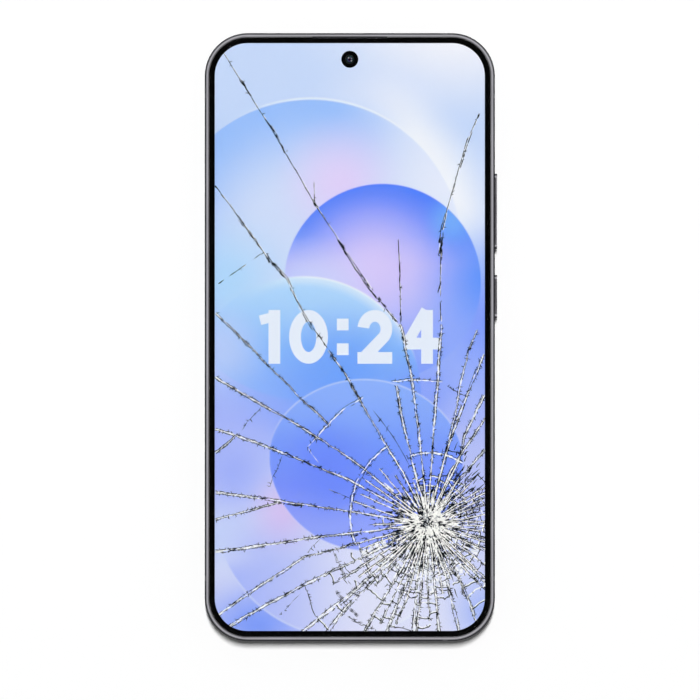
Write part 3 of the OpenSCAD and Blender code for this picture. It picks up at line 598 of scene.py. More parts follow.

# The frame, keys, SIM tray and antenna breaks carry painted shade: darker sides, a lighter front rim.
finishes = {
    "frame_metal": anodised_with_painted_shade("frame_metal", (0.05, 0.05, 0.056), (0.40, 0.395, 0.425),
                            painted_shade_low, painted_shade_high),
    "key_metal": anodised_with_painted_shade("key_metal", (0.07, 0.07, 0.078), (0.62, 0.61, 0.65),
                          key_top - 0.35, key_top - 0.02),
    "tray_metal": anodised_with_painted_shade("tray_metal", (0.05, 0.05, 0.056), (0.40, 0.395, 0.425),
                           painted_shade_low, painted_shade_high),
    "plate_metal": grained("plate_metal", (0.12, 0.12, 0.13), (0.17, 0.17, 0.185), 7.0, 1.0,
                           0.42, depth=0.004),
    "ring_metal": grained("ring_metal", (0.34, 0.34, 0.36), (0.46, 0.46, 0.49), 3.0, 1.0, 0.2,
                          depth=0.001),
    "antenna_plastic": anodised_with_painted_shade("antenna_plastic", (0.12, 0.12, 0.13), (0.38, 0.375, 0.40),
                                painted_shade_low, painted_shade_high),
    "back_glass": grained("back_glass", (0.045, 0.045, 0.053), (0.065, 0.065, 0.076), 5.0,
                          roughness=0.38, depth=0.0015, coat=0.15),
    "seal_rubber": grained("seal_rubber", (0.012, 0.012, 0.013), (0.03, 0.03, 0.03), 3.0,
                           roughness=0.8, depth=0.01),
    "ribbon": grained("ribbon", (0.38, 0.16, 0.03), (0.6, 0.3, 0.08), 1.5, roughness=0.4,
                      stretch=(6.0, 0.2, 1.0), depth=0.01),
    "camera_body": grained("camera_body", (0.008, 0.008, 0.009), (0.02, 0.02, 0.022), 4.0,
                           roughness=0.6, depth=0.004, specular=0.15),
    "camera_lens": coated_glass("camera_lens", (0.006, 0.008, 0.018)),
    "speaker_plastic": grained("speaker_plastic", (0.05, 0.05, 0.055), (0.09, 0.09, 0.095), 3.0,
                               roughness=0.6, depth=0.01),
    "mesh_metal": woven_mesh("mesh_metal"),
    "sensor_glass": coated_glass("sensor_glass", (0.02, 0.05, 0.04)),
    "copper": grained("copper", (0.55, 0.26, 0.13), (0.8, 0.42, 0.25), 1.2, 1.0, 0.3,
                      depth=0.004),
    "board": printed_board("board"),
    "chip": grained("chip", (0.02, 0.02, 0.02), (0.045, 0.045, 0.045), 5.0, roughness=0.55,
                    depth=0.004),
    "shield_steel": grained("shield_steel", (0.5, 0.5, 0.52), (0.68, 0.68, 0.7), 2.0, 1.0, 0.3,
                            stretch=(8.0, 0.4, 1.0), depth=0.003),
    "cover_plastic": grained("cover_plastic", (0.03, 0.03, 0.034), (0.055, 0.055, 0.06), 4.0,
                             roughness=0.55, depth=0.006),
    "screw_steel": grained("screw_steel", (0.42, 0.42, 0.44), (0.6, 0.6, 0.62), 4.0, 1.0, 0.28,
                           depth=0.003),
    "microphone_metal": grained("microphone_metal", (0.5, 0.38, 0.16), (0.75, 0.6, 0.3), 3.0,
                                1.0, 0.3, depth=0.003),
    "flash": grained("flash", (0.8, 0.74, 0.5), (0.95, 0.93, 0.84), 2.5, roughness=0.3,
                     depth=0.01),
    "battery_film": grained("battery_film", (0.03, 0.03, 0.034), (0.055, 0.055, 0.06), 0.8,
                            roughness=0.35, depth=0.02),
    "glue_film": grained("glue_film", (0.6, 0.6, 0.56), (0.78, 0.78, 0.74), 1.0, roughness=0.4,
                         depth=0.01),
    "usb_steel": grained("usb_steel", (0.45, 0.45, 0.46), (0.62, 0.62, 0.63), 3.0, 1.0, 0.28,
                         stretch=(0.5, 6.0, 1.0), depth=0.003),
    "usb_plastic": grained("usb_plastic", (0.02, 0.02, 0.02), (0.045, 0.045, 0.045), 5.0,
                           roughness=0.5, depth=0.004),
    "screen": lit_screen("screen"),
    "cover_glass": clear_glass("cover_glass"),
}

for node, piece in nodes.items():
    piece.data.materials.clear()
    piece.data.materials.append(finishes[slot_of[node]])


# The cover glass -----------------------------------------------------------------------------

rng = np.random.default_rng(41)
grid_step = 0.52                    # between the glass's points, away from its edge
edge_run, edge_drop = 0.9, 0.05     # width and depth of the slope round the glass
bowl_r, bowl_depth = 7.0, 0.10      # of the sunken glass round the impact
tilt_size, step_size = 0.006, 0.008     # of the splinters' slopes, and of the steps between them


def spaced(half, edge, step):
    """Places from -half to half: the given distances from each edge, then even steps."""
    inner = half - edge[-1]
    middle = np.linspace(-inner, inner, max(2, round(2 * inner / step)))
    sides = half - np.array(edge[:-1])
    return np.concatenate([-sides, middle, sides[::-1]])


def tilt_field(x, y):
    """Height of each splinter's tilt at a point: the plane is cut into sectors about the impact
    and rings that widen outwards, and every cell slopes a little in its own direction."""
    dx, dy = x - impact[0], y - impact[1]
    r = np.hypot(dx, dy) + 1e-6
    sectors = 46
    turn = (np.arctan2(dy, dx) / (2 * math.pi) % 1) * sectors
    sector = np.floor(turn + 0.35 * np.sin(r * 0.35)).astype(int) % sectors
    ring = np.floor(np.log(1 + r / 4) * 3.2 + 0.8 * np.sin(sector * 2.3)).astype(int)
    key = sector * 31 + ring
    slopes = np.random.default_rng(7).uniform(-1, 1, (key.max() + 1, 3))[key]
    share = np.clip(1.2 - r / 90, 0.15, 1)
    lean = np.sin(dx * 0.9 + slopes[..., 0] * 9) * slopes[..., 1]
    lean = lean + np.sin(dy * 0.9 + slopes[..., 1] * 9) * slopes[..., 0]
    return tilt_size * share * lean + step_size * share * slopes[..., 2]


def cover_slab():
    """The shattered cover glass, a closed slab. Rows run across at places in Y, and in each row
    the columns spread over the width that the corner arcs leave. The top slopes down a
    little at its edge, sinks in a shallow bowl at the impact, and carries the tilt of each
    splinter; the underside is flat."""
    inset = half_w - glass_high[0]
    radius = corner_r - inset
    edge = [0, 0.04, 0.12, 0.24, 0.4, 0.62, 0.9, 1.3]
    across = spaced(1.0, [e / glass_high[0] for e in edge], grid_step / glass_high[0])
    along = spaced(glass_high[1], edge, grid_step)
    arc = np.maximum(np.abs(along) - (glass_high[1] - radius), 0)
    reach = glass_high[0] - radius + np.sqrt(np.maximum(radius ** 2 - arc ** 2, 0))
    x = across[None, :] * reach[:, None]
    y = np.repeat(along[:, None], len(across), 1)
    depth = np.clip(inset_depth(x, y, inset), 0, edge_run) / edge_run
    drop = edge_drop * (1 - depth)
    away = np.hypot(x - impact[0], y - impact[1])
    bowl = bowl_depth * np.exp(-(away / bowl_r) ** 2)
    top = glass_top - drop - bowl + tilt_field(x, y) * np.clip(depth, 0, 1)
    rows, columns = x.shape
    upper = np.stack([x, y, top], -1).reshape(-1, 3)
    i = np.arange(rows - 1)[:, None] * columns
    j = np.arange(columns - 1)[None, :]
    quads = np.stack([i + j, i + j + 1, i + columns + j + 1, i + columns + j], -1)
    rim = np.concatenate([
        np.arange(columns),
        np.arange(2, rows) * columns - 1,
        np.arange(rows * columns - 1, (rows - 1) * columns - 1, -1),
        np.arange(rows - 2, 0, -1) * columns,
    ])
    lower = upper[rim] * [1, 1, 0] + [0, 0, glass_foot]
    start = len(upper)
    k = np.arange(len(rim))
    after = (k + 1) % len(rim)
    walls = np.stack([start + k, start + after, rim[after], rim[k]], -1)
    base = [list(range(start + len(rim) - 1, start - 1, -1))]
    faces = quads.reshape(-1, 4).tolist() + walls.tolist() + base
    return np.concatenate([upper, lower]), faces


publish("cover_glass_splinters", *cover_slab(), finishes["cover_glass"], "cover_glass", 12,
        stands_for=["cover_glass"])


def flat_ring(outer, inner, low, high):
    """A closed flat ring between two outlines of equally many points."""
    sides = (outer, low), (outer, high), (inner, high), (inner, low)
    return loft([at_level(outline, level) for outline, level in sides], closed=True)


ink, ink_graph = new_finish("border_ink", 0.0, 1.0, 0.0)
ink_graph.shader.inputs["Base Color"].default_value = (0.002, 0.002, 0.002, 1)
ink_low, ink_high = z_glass + 0.004, z_glass + 0.016
circle = rounded_outline(1, 1, 1, 12)
publish("border_ink", *joined([
    flat_ring(band_outline(half_w - glass_high[0] + 0.05), band_outline(border_inset),
              ink_low, ink_high),
    flat_ring(hole_centre + hole_r * circle, hole_centre + 1.15 * circle, ink_low, ink_high),
]), ink, "cover_glass")


# Cracks --------------------------------------------------------------------------------------

DIAMOND = ((1, 0.0), (0, 1.0), (-1, 0.0), (0, -1.0))
FLAT = ((1, -1.0), (1, 1.0), (-1, 1.0), (-1, -1.0))


def steps_of(path):
    """Length of each step of a path."""
    return np.hypot(*np.diff(path, axis=0).T)


def leftwards(path):
    """Unit vectors that point to the left of a path, at each of its points."""
    run = np.gradient(path, axis=0)
    run /= np.maximum(np.hypot(run[:, 0], run[:, 1]), 1e-9)[:, None]
    return np.column_stack([-run[:, 1], run[:, 0]])


def ribbon(path, width, middle, rise, section=DIAMOND):
    """A closed bar along an open path. Each corner of the section lies a share of half the
    width to the left of the path and a share of rise above its middle level."""
    path = np.asarray(path, float)
    width = np.broadcast_to(np.asarray(width, float), len(path))
    left = leftwards(path) * width[:, None] / 2
    ring = np.empty((len(path), 4, 3))
    for k, (side, lift) in enumerate(section):
        ring[:, k, :2] = path + side * left
        ring[:, k, 2] = middle + lift * rise
    return loft(ring)


class Strands:
    """Collects the bars of one tone, and makes one closed mesh of them."""

    def __init__(self, middle, rise):
        self.middle, self.rise, self.bars = middle, rise, []

    def add(self, path, width, taper=True):
        """A bar along a path, cut off at the black border. width is one number, or several at
        even places along the path, and taper thins both ends."""
        for part, share in inside_runs(np.asarray(path, float)):
            w = np.interp(share, np.linspace(0, 1, np.size(width)), np.atleast_1d(width))
            if taper:
                w = w * np.clip(np.minimum(share, 1 - share) * 8 + 0.25, 0, 1)
            self.bars.append(ribbon(part, w, self.middle, self.rise))

    def build(self, name, material):
        """Publishes the bars as one piece."""
        publish(name, *joined(self.bars), material, "cover_glass")


def inside_runs(path):
    """The stretches of a path that lie inside the lit field, each with the share of the whole
    path at its points. A stretch is cut off where the path crosses the field's outline."""
    depth = inset_depth(path[:, 0], path[:, 1], border_inset + 0.02)
    step = steps_of(path)
    share = np.concatenate([[0], np.cumsum(step)]) / max(step.sum(), 1e-9)
    inside = depth > 0
    if inside.all():
        return [(path, share)]
    runs, points, shares = [], [], []
    for k in range(len(path)):
        crossing = k > 0 and inside[k] != inside[k - 1]
        if crossing:
            t = depth[k - 1] / (depth[k - 1] - depth[k])
            points.append(path[k - 1] + t * (path[k] - path[k - 1]))
            shares.append(share[k - 1] + t * (share[k] - share[k - 1]))
        if inside[k]:
            points.append(path[k])
            shares.append(share[k])
        else:
            runs.append((np.array(points), np.array(shares)))
            points, shares = [], []
    runs.append((np.array(points), np.array(shares)))
    return [r for r in runs if len(r[0]) > 1 and np.hypot(*(r[0][-1] - r[0][0])) > 0.05]


# Each tone has its own level, so that chips and bright cores lie over dark edges, and dark edges
# over white and grey faces. The dark and grey tones also hold painted shade on splinter facets.
dark = Strands(z_front - 0.035, 0.03)
grey = Strands(z_front - 0.075, 0.03)
white = Strands(z_front - 0.05, 0.035)
bright = Strands(z_front - 0.02, 0.018)
chips = Strands(z_front - 0.013, 0.012)


def resampled(path, step):
    """A path's points at even steps along it."""
    path = np.asarray(path, float)
    run = np.concatenate([[0], np.cumsum(steps_of(path))])
    at = np.linspace(0, run[-1], max(3, int(run[-1] / step) + 1))
    return np.column_stack([np.interp(at, run, path[:, k]) for k in (0, 1)])


def wander(count, size, smooth=2):
    """Random offsets of a size, evened out with their neighbours."""
    raw = rng.normal(0, 1, count + 2 * smooth)
    kernel = np.ones(2 * smooth + 1) / math.sqrt(2 * smooth + 1)
    return np.convolve(raw, kernel, "valid") * size


def beside(path, offset):
    """A path moved to its left by an offset, which may change along it."""
    return path + leftwards(path) * np.reshape(offset, (-1, 1))


def swell(count, reach):
    """A smooth random course from 0 to 1 along count points, turning over about reach points."""
    knots = max(3, int(count / reach) + 2)
    return np.interp(np.linspace(0, knots - 1, count), np.arange(knots), rng.uniform(0, 1, knots))


def strokes(path, offset, width, strands, cover, length, slant=0.05):
    """Short overlapping strokes that follow a path at an offset, each leaning a little across
    it. cover is the chance of a stroke at each place, and length its usual length."""
    count = len(path)
    offset, width, cover = (np.broadcast_to(v, count) for v in (offset, width, cover))
    step = np.hypot(*(path[1] - path[0]))
    k = 0
    while k < count - 2:
        last = min(count, k + max(3, int(rng.uniform(0.5, 1.5) * length / step) + 1))
        if last - k > 2 and rng.random() < cover[k]:
            lean = rng.normal(0, slant) * np.linspace(-1, 1, last - k)
            strands.add(beside(path[k:last], offset[k:last] + lean), width[k:last])
        k = last - 1


def barbs(path, width, spacing, size, strands):
    """Short spurs that leave a crack on either side at slanting angles."""
    run = np.gradient(path, axis=0)
    total = steps_of(path).sum()
    for k in rng.integers(0, len(path), int(total / spacing)):
        side = rng.choice([-1, 1])
        heading = math.atan2(run[k, 1], run[k, 0]) + side * rng.uniform(0.4, 2.6)
        reach = size * rng.uniform(0.5, 1.6)
        out = np.array([math.cos(heading), math.sin(heading)])
        start = beside(path[max(k - 1, 0):k + 2], 0.4 * side * width[k])[-1]
        bend = rng.normal(0, 0.12, 2)
        line = [start - 0.1 * out, start + 0.5 * reach * out + bend, start + reach * out]
        strands.add(line, rng.uniform(0.15, 0.27) * np.array([1, 0.8, 0.3]), False)


def kinked(path, size, every):
    """A path pushed sideways at random places, with straight runs between them."""
    count = max(3, int(len(path) / every))
    places = np.linspace(0, len(path) - 1, count)
    pushes = rng.normal(0, size, count) + rng.choice([-1, 1], count) * size * 0.5
    pushes[-1] = 0
    return beside(path, np.interp(np.arange(len(path)), places, pushes))


def bundles(path, width, spacing, strands):
    """Sheaves of three to six short strokes that lie side by side along a crack."""
    total = steps_of(path).sum()
    for k in rng.integers(2, max(3, len(path) - 8), int(total / spacing)):
        for _ in range(rng.integers(3, 7)):
            first = k + rng.integers(0, 4)
            last = min(len(path), first + rng.integers(3, 6))
            if last - first > 2:
                side = rng.uniform(-0.6, 0.6) * width[k]
                lean = np.linspace(0, rng.normal(0, 0.14), last - first)
                strands.add(beside(path[first:last], side + lean), rng.uniform(0.16, 0.26))


def open_crack(path, outer, inner, fine):
    """One long crack, whose width goes from outer to inner and swells and thins on the way. A
    fine crack is one dark line with pale flecks beside it; a wide one has two dark edges of
    short slanting strokes, a grey body and white strands that widen towards the impact."""
    path = kinked(resampled(path, 0.42), 0.025 if fine else 0.05, 4.5)
    count = len(path)
    force = swell(count, 12)
    width = (outer + (inner - outer) * np.linspace(0, 1, count)) * (0.42 + 0.72 * force)
    away = np.hypot(*(path - impact).T)
    near = np.clip((24 - away) / 10, 0, 1)
    far = np.clip((away - 45) / 30, 0, 1)
    thin = (0.13 + 0.10 * force) * (1 - 0.12 * far)
    if fine:
        cover = np.clip(0.5 + 1.2 * force - 0.5 * near, 0, 0.97)
        strokes(path, 0, thin + 0.05, dark, cover, 2.4, 0.02)
        strokes(path, 0.4 * width, thin, dark, (0.55 - 0.25 * far) * force, 1.5)
        strokes(path, -0.36 * width, thin, dark, (0.45 - 0.2 * far) * force, 1.3)
        strokes(path, 0.28 * width, 0.14 + 0.1 * width, white, 0.7 - 0.3 * force, 2.4, 0.03)
        strokes(path, -0.1 * width, 0.34 * width, grey, 0.2 + 0.4 * near, 2.0, 0.03)
        strokes(path, 0, 0.15 + 0.14 * near, bright, 0.8 * near, 4.0, 0.02)
        barbs(path, width, 4, 0.45, dark)
        bundles(path, width, 9, dark)
        return
    middle = 0.5 * (swell(count, 5) - 0.5) * width
    strokes(path, 0, 0.7 * width, grey, 0.55, 3.0)
    strokes(path, 0.17 * width, 0.08 + 0.26 * width, white, 0.85, 2.6, 0.03)
    strokes(path, -0.2 * width, 0.08 + 0.2 * width, white, 0.6, 2.2, 0.03)
    strokes(path, 0, 0.17 + 0.1 * near, bright, 0.9 * near, 4.5, 0.02)
    strokes(path, 0.48 * width, thin, dark, 0.92 - 0.25 * near, 1.4, 0.07)
    strokes(path, -0.48 * width, thin, dark, 0.88 - 0.25 * near, 1.3, 0.07)
    strokes(path, middle, 0.85 * thin, dark, 0.42, 1.1, 0.09)
    barbs(path, width, 0.62, 0.5, dark)
    bundles(path, width, 9, dark)


WIDE = [
    # offsets from the impact, outermost first, and the crack's outer and inner width
    ([(13.9, 42), (9.8, 32.3), (5.3, 20), (1.6, 7)], 0.8, 0.6),
    ([(13.9, 31.9), (11.5, 26.7), (9.1, 21.9), (7.9, 16.3), (3, 6)], 0.8, 0.6),
    ([(14.2, 26.3), (11.5, 21.9), (9.1, 18.6), (5.6, 13), (2.2, 5)], 0.7, 0.5),
    ([(14.2, 18.4), (11, 14.8), (7.9, 11.3), (3, 4)], 0.7, 0.6),
    ([(-52.5, 52.2), (-48.2, 48), (-43.1, 43), (-39.8, 39.4), (-33.9, 33.8), (-32, 31.4),
      (-26, 26.2), (-24.2, 24.2)], 0.45, 0.4),
    ([(-52.6, 36.4), (-49, 34), (-40.3, 29), (-35, 26.2), (-27.7, 21.6), (-19.3, 16.3),
      (-15.7, 13.6), (-12.6, 10.9), (-4, 3.5)], 0.55, 0.45),
    ([(-52.6, 23.5), (-48.5, 22.2), (-45.7, 21.2), (-39.8, 19.1), (-35, 17.2), (-25.6, 13.4),
      (-19.3, 10.9), (-5, 3)], 0.6, 0.5),
    ([(-52.6, 17.5), (-47.6, 21.7)], 0.5, 0.4),
    ([(-52.6, 7.8), (-42.9, 6.6), (-35.4, 5.4), (-26.8, 4.2), (-19.3, 3.1), (-5, 0.8)], 0.7, 0.5),
    ([(-52.6, 1), (-36.5, 5.4)], 0.6, 0.4),
    ([(-52.6, -7.1), (-40.3, -5.2), (-27.4, -3.3), (-19.3, -2.4), (-5, -0.6)], 0.8, 0.6),
    ([(-52, -22.7), (-44.5, -17.3), (-36, -11.9), (-30.6, -8.2), (-22.8, -6.3), (-19.3, -5.2),
      (-5, -1.4)], 0.8, 0.6),
    ([(-49.6, -25.6), (-40.3, -20.2), (-30.6, -15.1), (-22.5, -11.1), (-19.3, -9.8),
      (-5, -2.6)], 0.95, 0.8),
    ([(-31.3, -27), (-26.8, -23.2), (-19.3, -17.6), (-5, -4.6)], 1.0, 0.9),
    ([(-25.1, -27), (-20.4, -21), (-10, -10.5), (-4, -4.4)], 0.9, 0.8),
    ([(-16, -27), (-10.4, -17.6), (-3, -5)], 0.8, 0.7),
    ([(-10.3, -27), (-4.5, -12.5), (-2, -5)], 1.1, 0.9),
    ([(-3.4, -27), (-2.6, -13.3), (-1, -5)], 0.95, 0.8),
    ([(2.8, -27), (1.7, -14.6), (0.6, -5)], 0.8, 0.6),
    ([(7.9, -27), (4.9, -14.6), (1.7, -5)], 0.95, 0.8),
    ([(12.4, -25), (8.9, -15.9), (4.9, -7.4), (3, -4)], 0.75, 0.7),
    ([(14.2, -14.5), (8.5, -9), (3.5, -4)], 0.5, 0.5),
    ([(14.2, -6.2), (8, -3.4), (4, -1.6)], 0.5, 0.5),
    ([(14.2, 0.6), (4, 0.4)], 0.5, 0.5),
    ([(14.2, 7.8), (4, 2.4)], 0.5, 0.5),
]
FINE = [
    ([(-50.6, 116.6), (-41.9, 102.7), (-39, 98.2), (-31.3, 85), (-28, 79.1), (-23.2, 72),
      (-19.3, 66.1), (-14.5, 58.8), (-9.6, 52.2), (-6.5, 48.8), (-4.1, 36.6), (-2.2, 22.4),
      (-1.6, 17.2), (-0.6, 6)], 0.45, 0.6),
    ([(-52.6, 83.8), (-41.4, 68.3), (-39.1, 64.9), (-35, 60.7), (-32.2, 54.8), (-28.1, 48),
      (-26.3, 45.6), (-19.3, 35.3), (-16.2, 29.4), (-10.3, 19.3), (-6, 12.5), (-2, 4)], 0.55, 0.7),
    ([(-7.3, 70.4), (-6.9, 61.4), (-6.7, 49.6)], 0.35, 0.4),
    ([(12.7, 101.5), (9.6, 94.4), (6.8, 85), (5.1, 78.9), (3.7, 73.2), (3.2, 68.5), (3, 56.7),
      (3.3, 48), (2.8, 40.9), (2.4, 35.2), (1.8, 29), (1.1, 17.7), (0.3, 6)], 0.45, 0.65),
    ([(12.2, 48), (10.1, 43), (7.9, 33.8), (6.3, 24.8), (4.4, 17.5), (1.5, 6)], 0.4, 0.6),
    ([(-45, 64.1), (-47, 62.8), (-49, 61.3)], 0.3, 0.25),
    ([(-41.3, 66.8), (-42.4, 66), (-42.9, 65.6)], 0.25, 0.25),
    ([(-50.4, 60.4), (-51.4, 59.7), (-52.3, 59.1)], 0.2, 0.2),
    ([(-28.2, 84.6), (-28, 79.3)], 0.25, 0.25),
    ([(-7.8, 34.2), (-6.6, 27), (-4, 16), (-2, 8)], 0.4, 0.5),
    # second strands beside the long cracks
    ([(-22.5, 70.3), (-19.7, 65.9), (-14.9, 58.5), (-12.3, 55.2)], 0.3, 0.35),
    ([(-38.8, 98.7), (-37.1, 95.8), (-35, 92.2)], 0.25, 0.25),
    ([(-40, 67), (-38.8, 65.2), (-34.7, 61), (-33.4, 58.2)], 0.3, 0.3),
    ([(-32.1, 53.8), (-28.5, 47.8)], 0.3, 0.35),
    ([(11, 96.9), (9.9, 94.3), (8, 87.9)], 0.2, 0.25),
    ([(4.4, 77), (3.3, 73.3), (2.8, 68.5), (2.7, 66)], 0.25, 0.3),
]
for points, outer, inner in WIDE:
    open_crack(impact + np.array(points, float), outer, inner, False)
opening_r = 50                  # a fine crack opens into a wide one at this distance
for points, outer, inner in FINE:
    course = resampled(np.array(points, float), 0.5)
    closer = np.hypot(*course.T) < opening_r
    if (~closer).sum() > 3:
        open_crack(impact + course[~closer], outer, inner, True)
    if closer.sum() > 3:
        open_crack(impact + course[closer], 0.6, 0.7, False)


def polar(angle, radius):
    """Points at angles in degrees and radii about the impact."""
    angle = np.radians(angle)
    return impact + np.column_stack([radius * np.cos(angle), radius * np.sin(angle)])


def ring_crack(start, end, r0, r1, width, tone, echo=0.0):
    """A crack round the impact between two angles, its radius going from r0 to r1 in kinks,
    with a dark line beside it at distance echo."""
    count = max(6, int(abs(math.radians(end - start)) * r0 / 0.6))
    angle = np.linspace(start, end, count)
    radius = np.linspace(r0, r1, count) + wander(count, 0.1, 2)
    force = swell(count, 8)
    strokes(polar(angle, radius), 0, width * (0.6 + 0.6 * force), tone, 0.93, 2.6)
    if echo:
        strokes(polar(angle, radius + echo), 0, 0.14 + 0.1 * force, dark, 0.85, 1.5, 0.08)
        strokes(polar(angle, radius - 0.9 * echo), 0, 0.16, dark, 0.4, 1.0, 0.08)
    barbs(polar(angle, radius), np.full(count, width), 1.1, 0.55, dark)


for ring in (
    # angle and radius: from, to, from, to; then width, tone and the distance of the dark line
    (73, 83, 32.6, 34.6, 0.18, dark),
    (84, 104, 35.2, 36.3, 0.3, white, 0.3),
    (117, 143, 35.2, 34.6, 0.38, white, 0.34),
    (117, 197, 21.6, 18.4, 0.42, white, 0.36),
    (132, 168, 20.4, 19.2, 0.14, dark),
    (194, 226, 24.0, 24.6, 0.34, grey, 0.32),
    (199, 226, 17.6, 18.4, 0.3, grey, 0.32),
    (216, 233, 28.0, 28.6, 0.26, dark, 0.3),
    (229, 243, 30.2, 29.2, 0.22, dark, 0.3),
    (188, 194.3, 26.9, 31.2, 0.16, dark),
    (208.7, 211.7, 36.1, 42.6, 0.14, dark),
    (145, 154, 50.4, 51.8, 0.16, dark),
    (155, 166.5, 39.6, 40.0, 0.14, dark),
    (142, 147.5, 34.8, 35.4, 0.2, white, 0.2),
    (147.5, 151.5, 35.4, 29.8, 0.16, white),
    (115.8, 107.6, 31.2, 15.0, 0.18, dark),
    (160.8, 162, 25.8, 18.7, 0.2, white, 0.2),
    (207, 221, 34, 36, 0.2, dark),
    (60, 107, 17.5, 17.5, 0.42, white, 0.36),
    (66, 112, 9.4, 9.8, 0.4, white, -0.4),
    (246, 292, 17.6, 17.0, 0.24, dark),
    (228, 256, 13.2, 13.8, 0.2, dark),
):
    ring_crack(*ring)


def spoke(points):
    """Radius and unwound angle along a crack, given by offsets from the impact."""
    run = resampled(points, 0.5)
    radius = np.hypot(*run.T)
    angle = np.degrees(np.unwrap(np.arctan2(run[:, 1], run[:, 0])))
    order = np.argsort(radius)
    return radius[order], angle[order] - 360 * (angle[order][0] // 360)


def web_reach(angle):
    """Radius that the web of small cells reaches, which is widest below the impact."""
    return np.interp(angle % 360, [0, 30, 62, 78, 110, 125, 190, 205, 225, 245, 285, 325, 360],
                     [18, 21, 21, 13, 10, 9, 11, 26, 33, 31, 25, 24, 18])


def spoke_reach(angle):
    """Usual length of the short radial cracks between the long ones."""
    return np.interp(angle % 360, [0, 60, 90, 118, 190, 220, 240, 285, 330, 360],
                     [18, 19, 14, 17, 20, 31, 29, 24, 22, 18])


def web_share(angle):
    """How much of the web's cross links and filled cells are there."""
    return np.interp(angle % 360, [0, 60, 80, 110, 125, 190, 210, 300, 360],
                     [1.0, 1.0, 0.7, 0.6, 0.4, 0.45, 0.95, 1.0, 1.0])


def turned_to(one, radius):
    """Angle of a spoke at a radius."""
    return np.interp(radius, one[0], one[1])


def spoke_angle(one):
    """Angle of a spoke just outside the crushed glass."""
    return turned_to(one, 8.0)


long_spokes = [spoke(np.array(points, float)) for points, _, _ in WIDE + FINE]
long_spokes = [s for s in long_spokes if s[0][0] < 9]
long_spokes.sort(key=lambda one: spoke_angle(one) % 360)
spokes = []
for k, one in enumerate(long_spokes):
    here = spoke_angle(one) % 360
    after = spoke_angle(long_spokes[(k + 1) % len(long_spokes)]) % 360
    gap = (after - here) % 360
    spokes.append(one)
    between = max(1, round(gap / (5.6 if web_share(here + gap / 2) > 0.9 else 7.0)))
    for place in range(1, between):
        angle = here + gap * place / between + rng.uniform(-1.2, 1.2)
        reach = spoke_reach(angle) * rng.uniform(0.6, 1.1)
        radius = np.linspace(4.2 if place % 2 else 8.5, max(reach, 11), 4)
        lean = angle + np.cumsum(rng.normal(0, 0.9, 4))
        spokes.append((radius, lean))
        open_crack(polar(lean, radius)[::-1], 0.5 if 200 < angle % 360 < 340 else 0.3, 0.4, False)

cells = {"slate": [], "ash": [], "milk": []}


def filled_cell(tone, left, right, inner, outer):
    """A flat closed facet between two spokes and two radii, its outer corners rounded off."""
    shares = np.array([0.2, 0.8, 0.86, 0.7, 0.32, 0.14]) + rng.uniform(-0.06, 0.06, 6)
    radius = inner + (outer - inner) * np.array([0.12, 0.16, 0.7, 0.9, 0.92, 0.6])
    angle = np.array([
        turned_to(left, r) + s * ((turned_to(right, r) - turned_to(left, r)) % 360)
        for s, r in zip(shares, radius)
    ])
    outline = polar(angle, radius)
    if inset_depth(outline[:, 0], outline[:, 1], border_inset + 0.1).min() > 0:
        cells[tone].append(loft([at_level(outline, z_front - drop) for drop in (0.14, 0.085)]))


def web_cell(left, right, inner, outer):
    """The outer wall of a cell between two spokes, and perhaps a facet that fills it."""
    start = turned_to(left, outer)
    gap = (turned_to(right, outer) - start) % 360
    if not 1.5 < gap < 26 or not 1.5 < (turned_to(right, inner) - turned_to(left, inner)) % 360 < 26:
        return
    share = web_share(start + gap / 2)
    if rng.random() < 0.9 * share:
        round_end = rng.uniform(0.15, 0.32) if rng.random() < 0.1 else rng.uniform(-0.1, 0.1)
        part = np.array([0, 0.15, 0.4, 0.6, 0.85, 1])
        bulge = math.radians(gap) * outer * round_end * np.sin(part * math.pi)
        radius = outer + np.linspace(0, rng.normal(0, 0.45), 6) + bulge + rng.normal(0, 0.07, 6)
        line = polar(start + gap * part, radius)
        whole = rng.random()
        if whole < 0.85:
            dark.add(line, rng.uniform(0.18, 0.3) * np.array([1.5, 0.9, 0.7, 0.8, 0.9, 1.4]), False)
        if whole > 0.45 - 0.25 * (200 < start % 360 < 340):
            white.add(polar(start + gap * part, radius - 0.24), rng.uniform(0.18, 0.36), False)
        if outer > 8:
            barbs(line, np.full(6, 0.2), 1.3, 0.45, dark)
    close = np.clip((10.5 - outer) / 5, 0, 1)
    pick = rng.random()
    if pick < 0.4 * close:
        filled_cell("slate", left, right, inner, outer)
    elif pick < 0.65 * close:
        filled_cell("ash", left, right, inner, outer)
    elif pick < 0.65 * close + 0.34 * (200 < start % 360 < 350) * (outer < 18):
        filled_cell("milk", left, right, inner, outer)


for k, left in enumerate(spokes):
    right = spokes[(k + 1) % len(spokes)]
    limit = min(web_reach(spoke_angle(left)), left[0][-1], right[0][-1])
    inner = rng.uniform(4.2, 5.4)
    while inner < limit:
        outer = inner + max(0.9, inner * rng.uniform(0.1, 0.22))
        web_cell(left, right, inner, outer)
        inner = outer
    # Short dark and grey strokes between the spokes: painted shade of splinter facets that lie in
    # shadow.
    gap = (turned_to(right, 6.5) - turned_to(left, 6.5)) % 360
    for _ in range(rng.integers(2, 5)):
        angle = turned_to(left, 6.5) + gap * rng.uniform(0.15, 0.85)
        start, length = rng.uniform(4.2, 8.5), rng.uniform(0.8, 2.8)
        radius = start + length * np.array([0, 0.35, 0.75, 1])
        tone = dark if rng.random() < 0.75 else grey
        tone.add(polar(angle + rng.normal(0, 0.5, 4), radius),
                 rng.uniform(0.22, 0.44) * np.array([0.3, 1, 0.8, 0.2]), False)


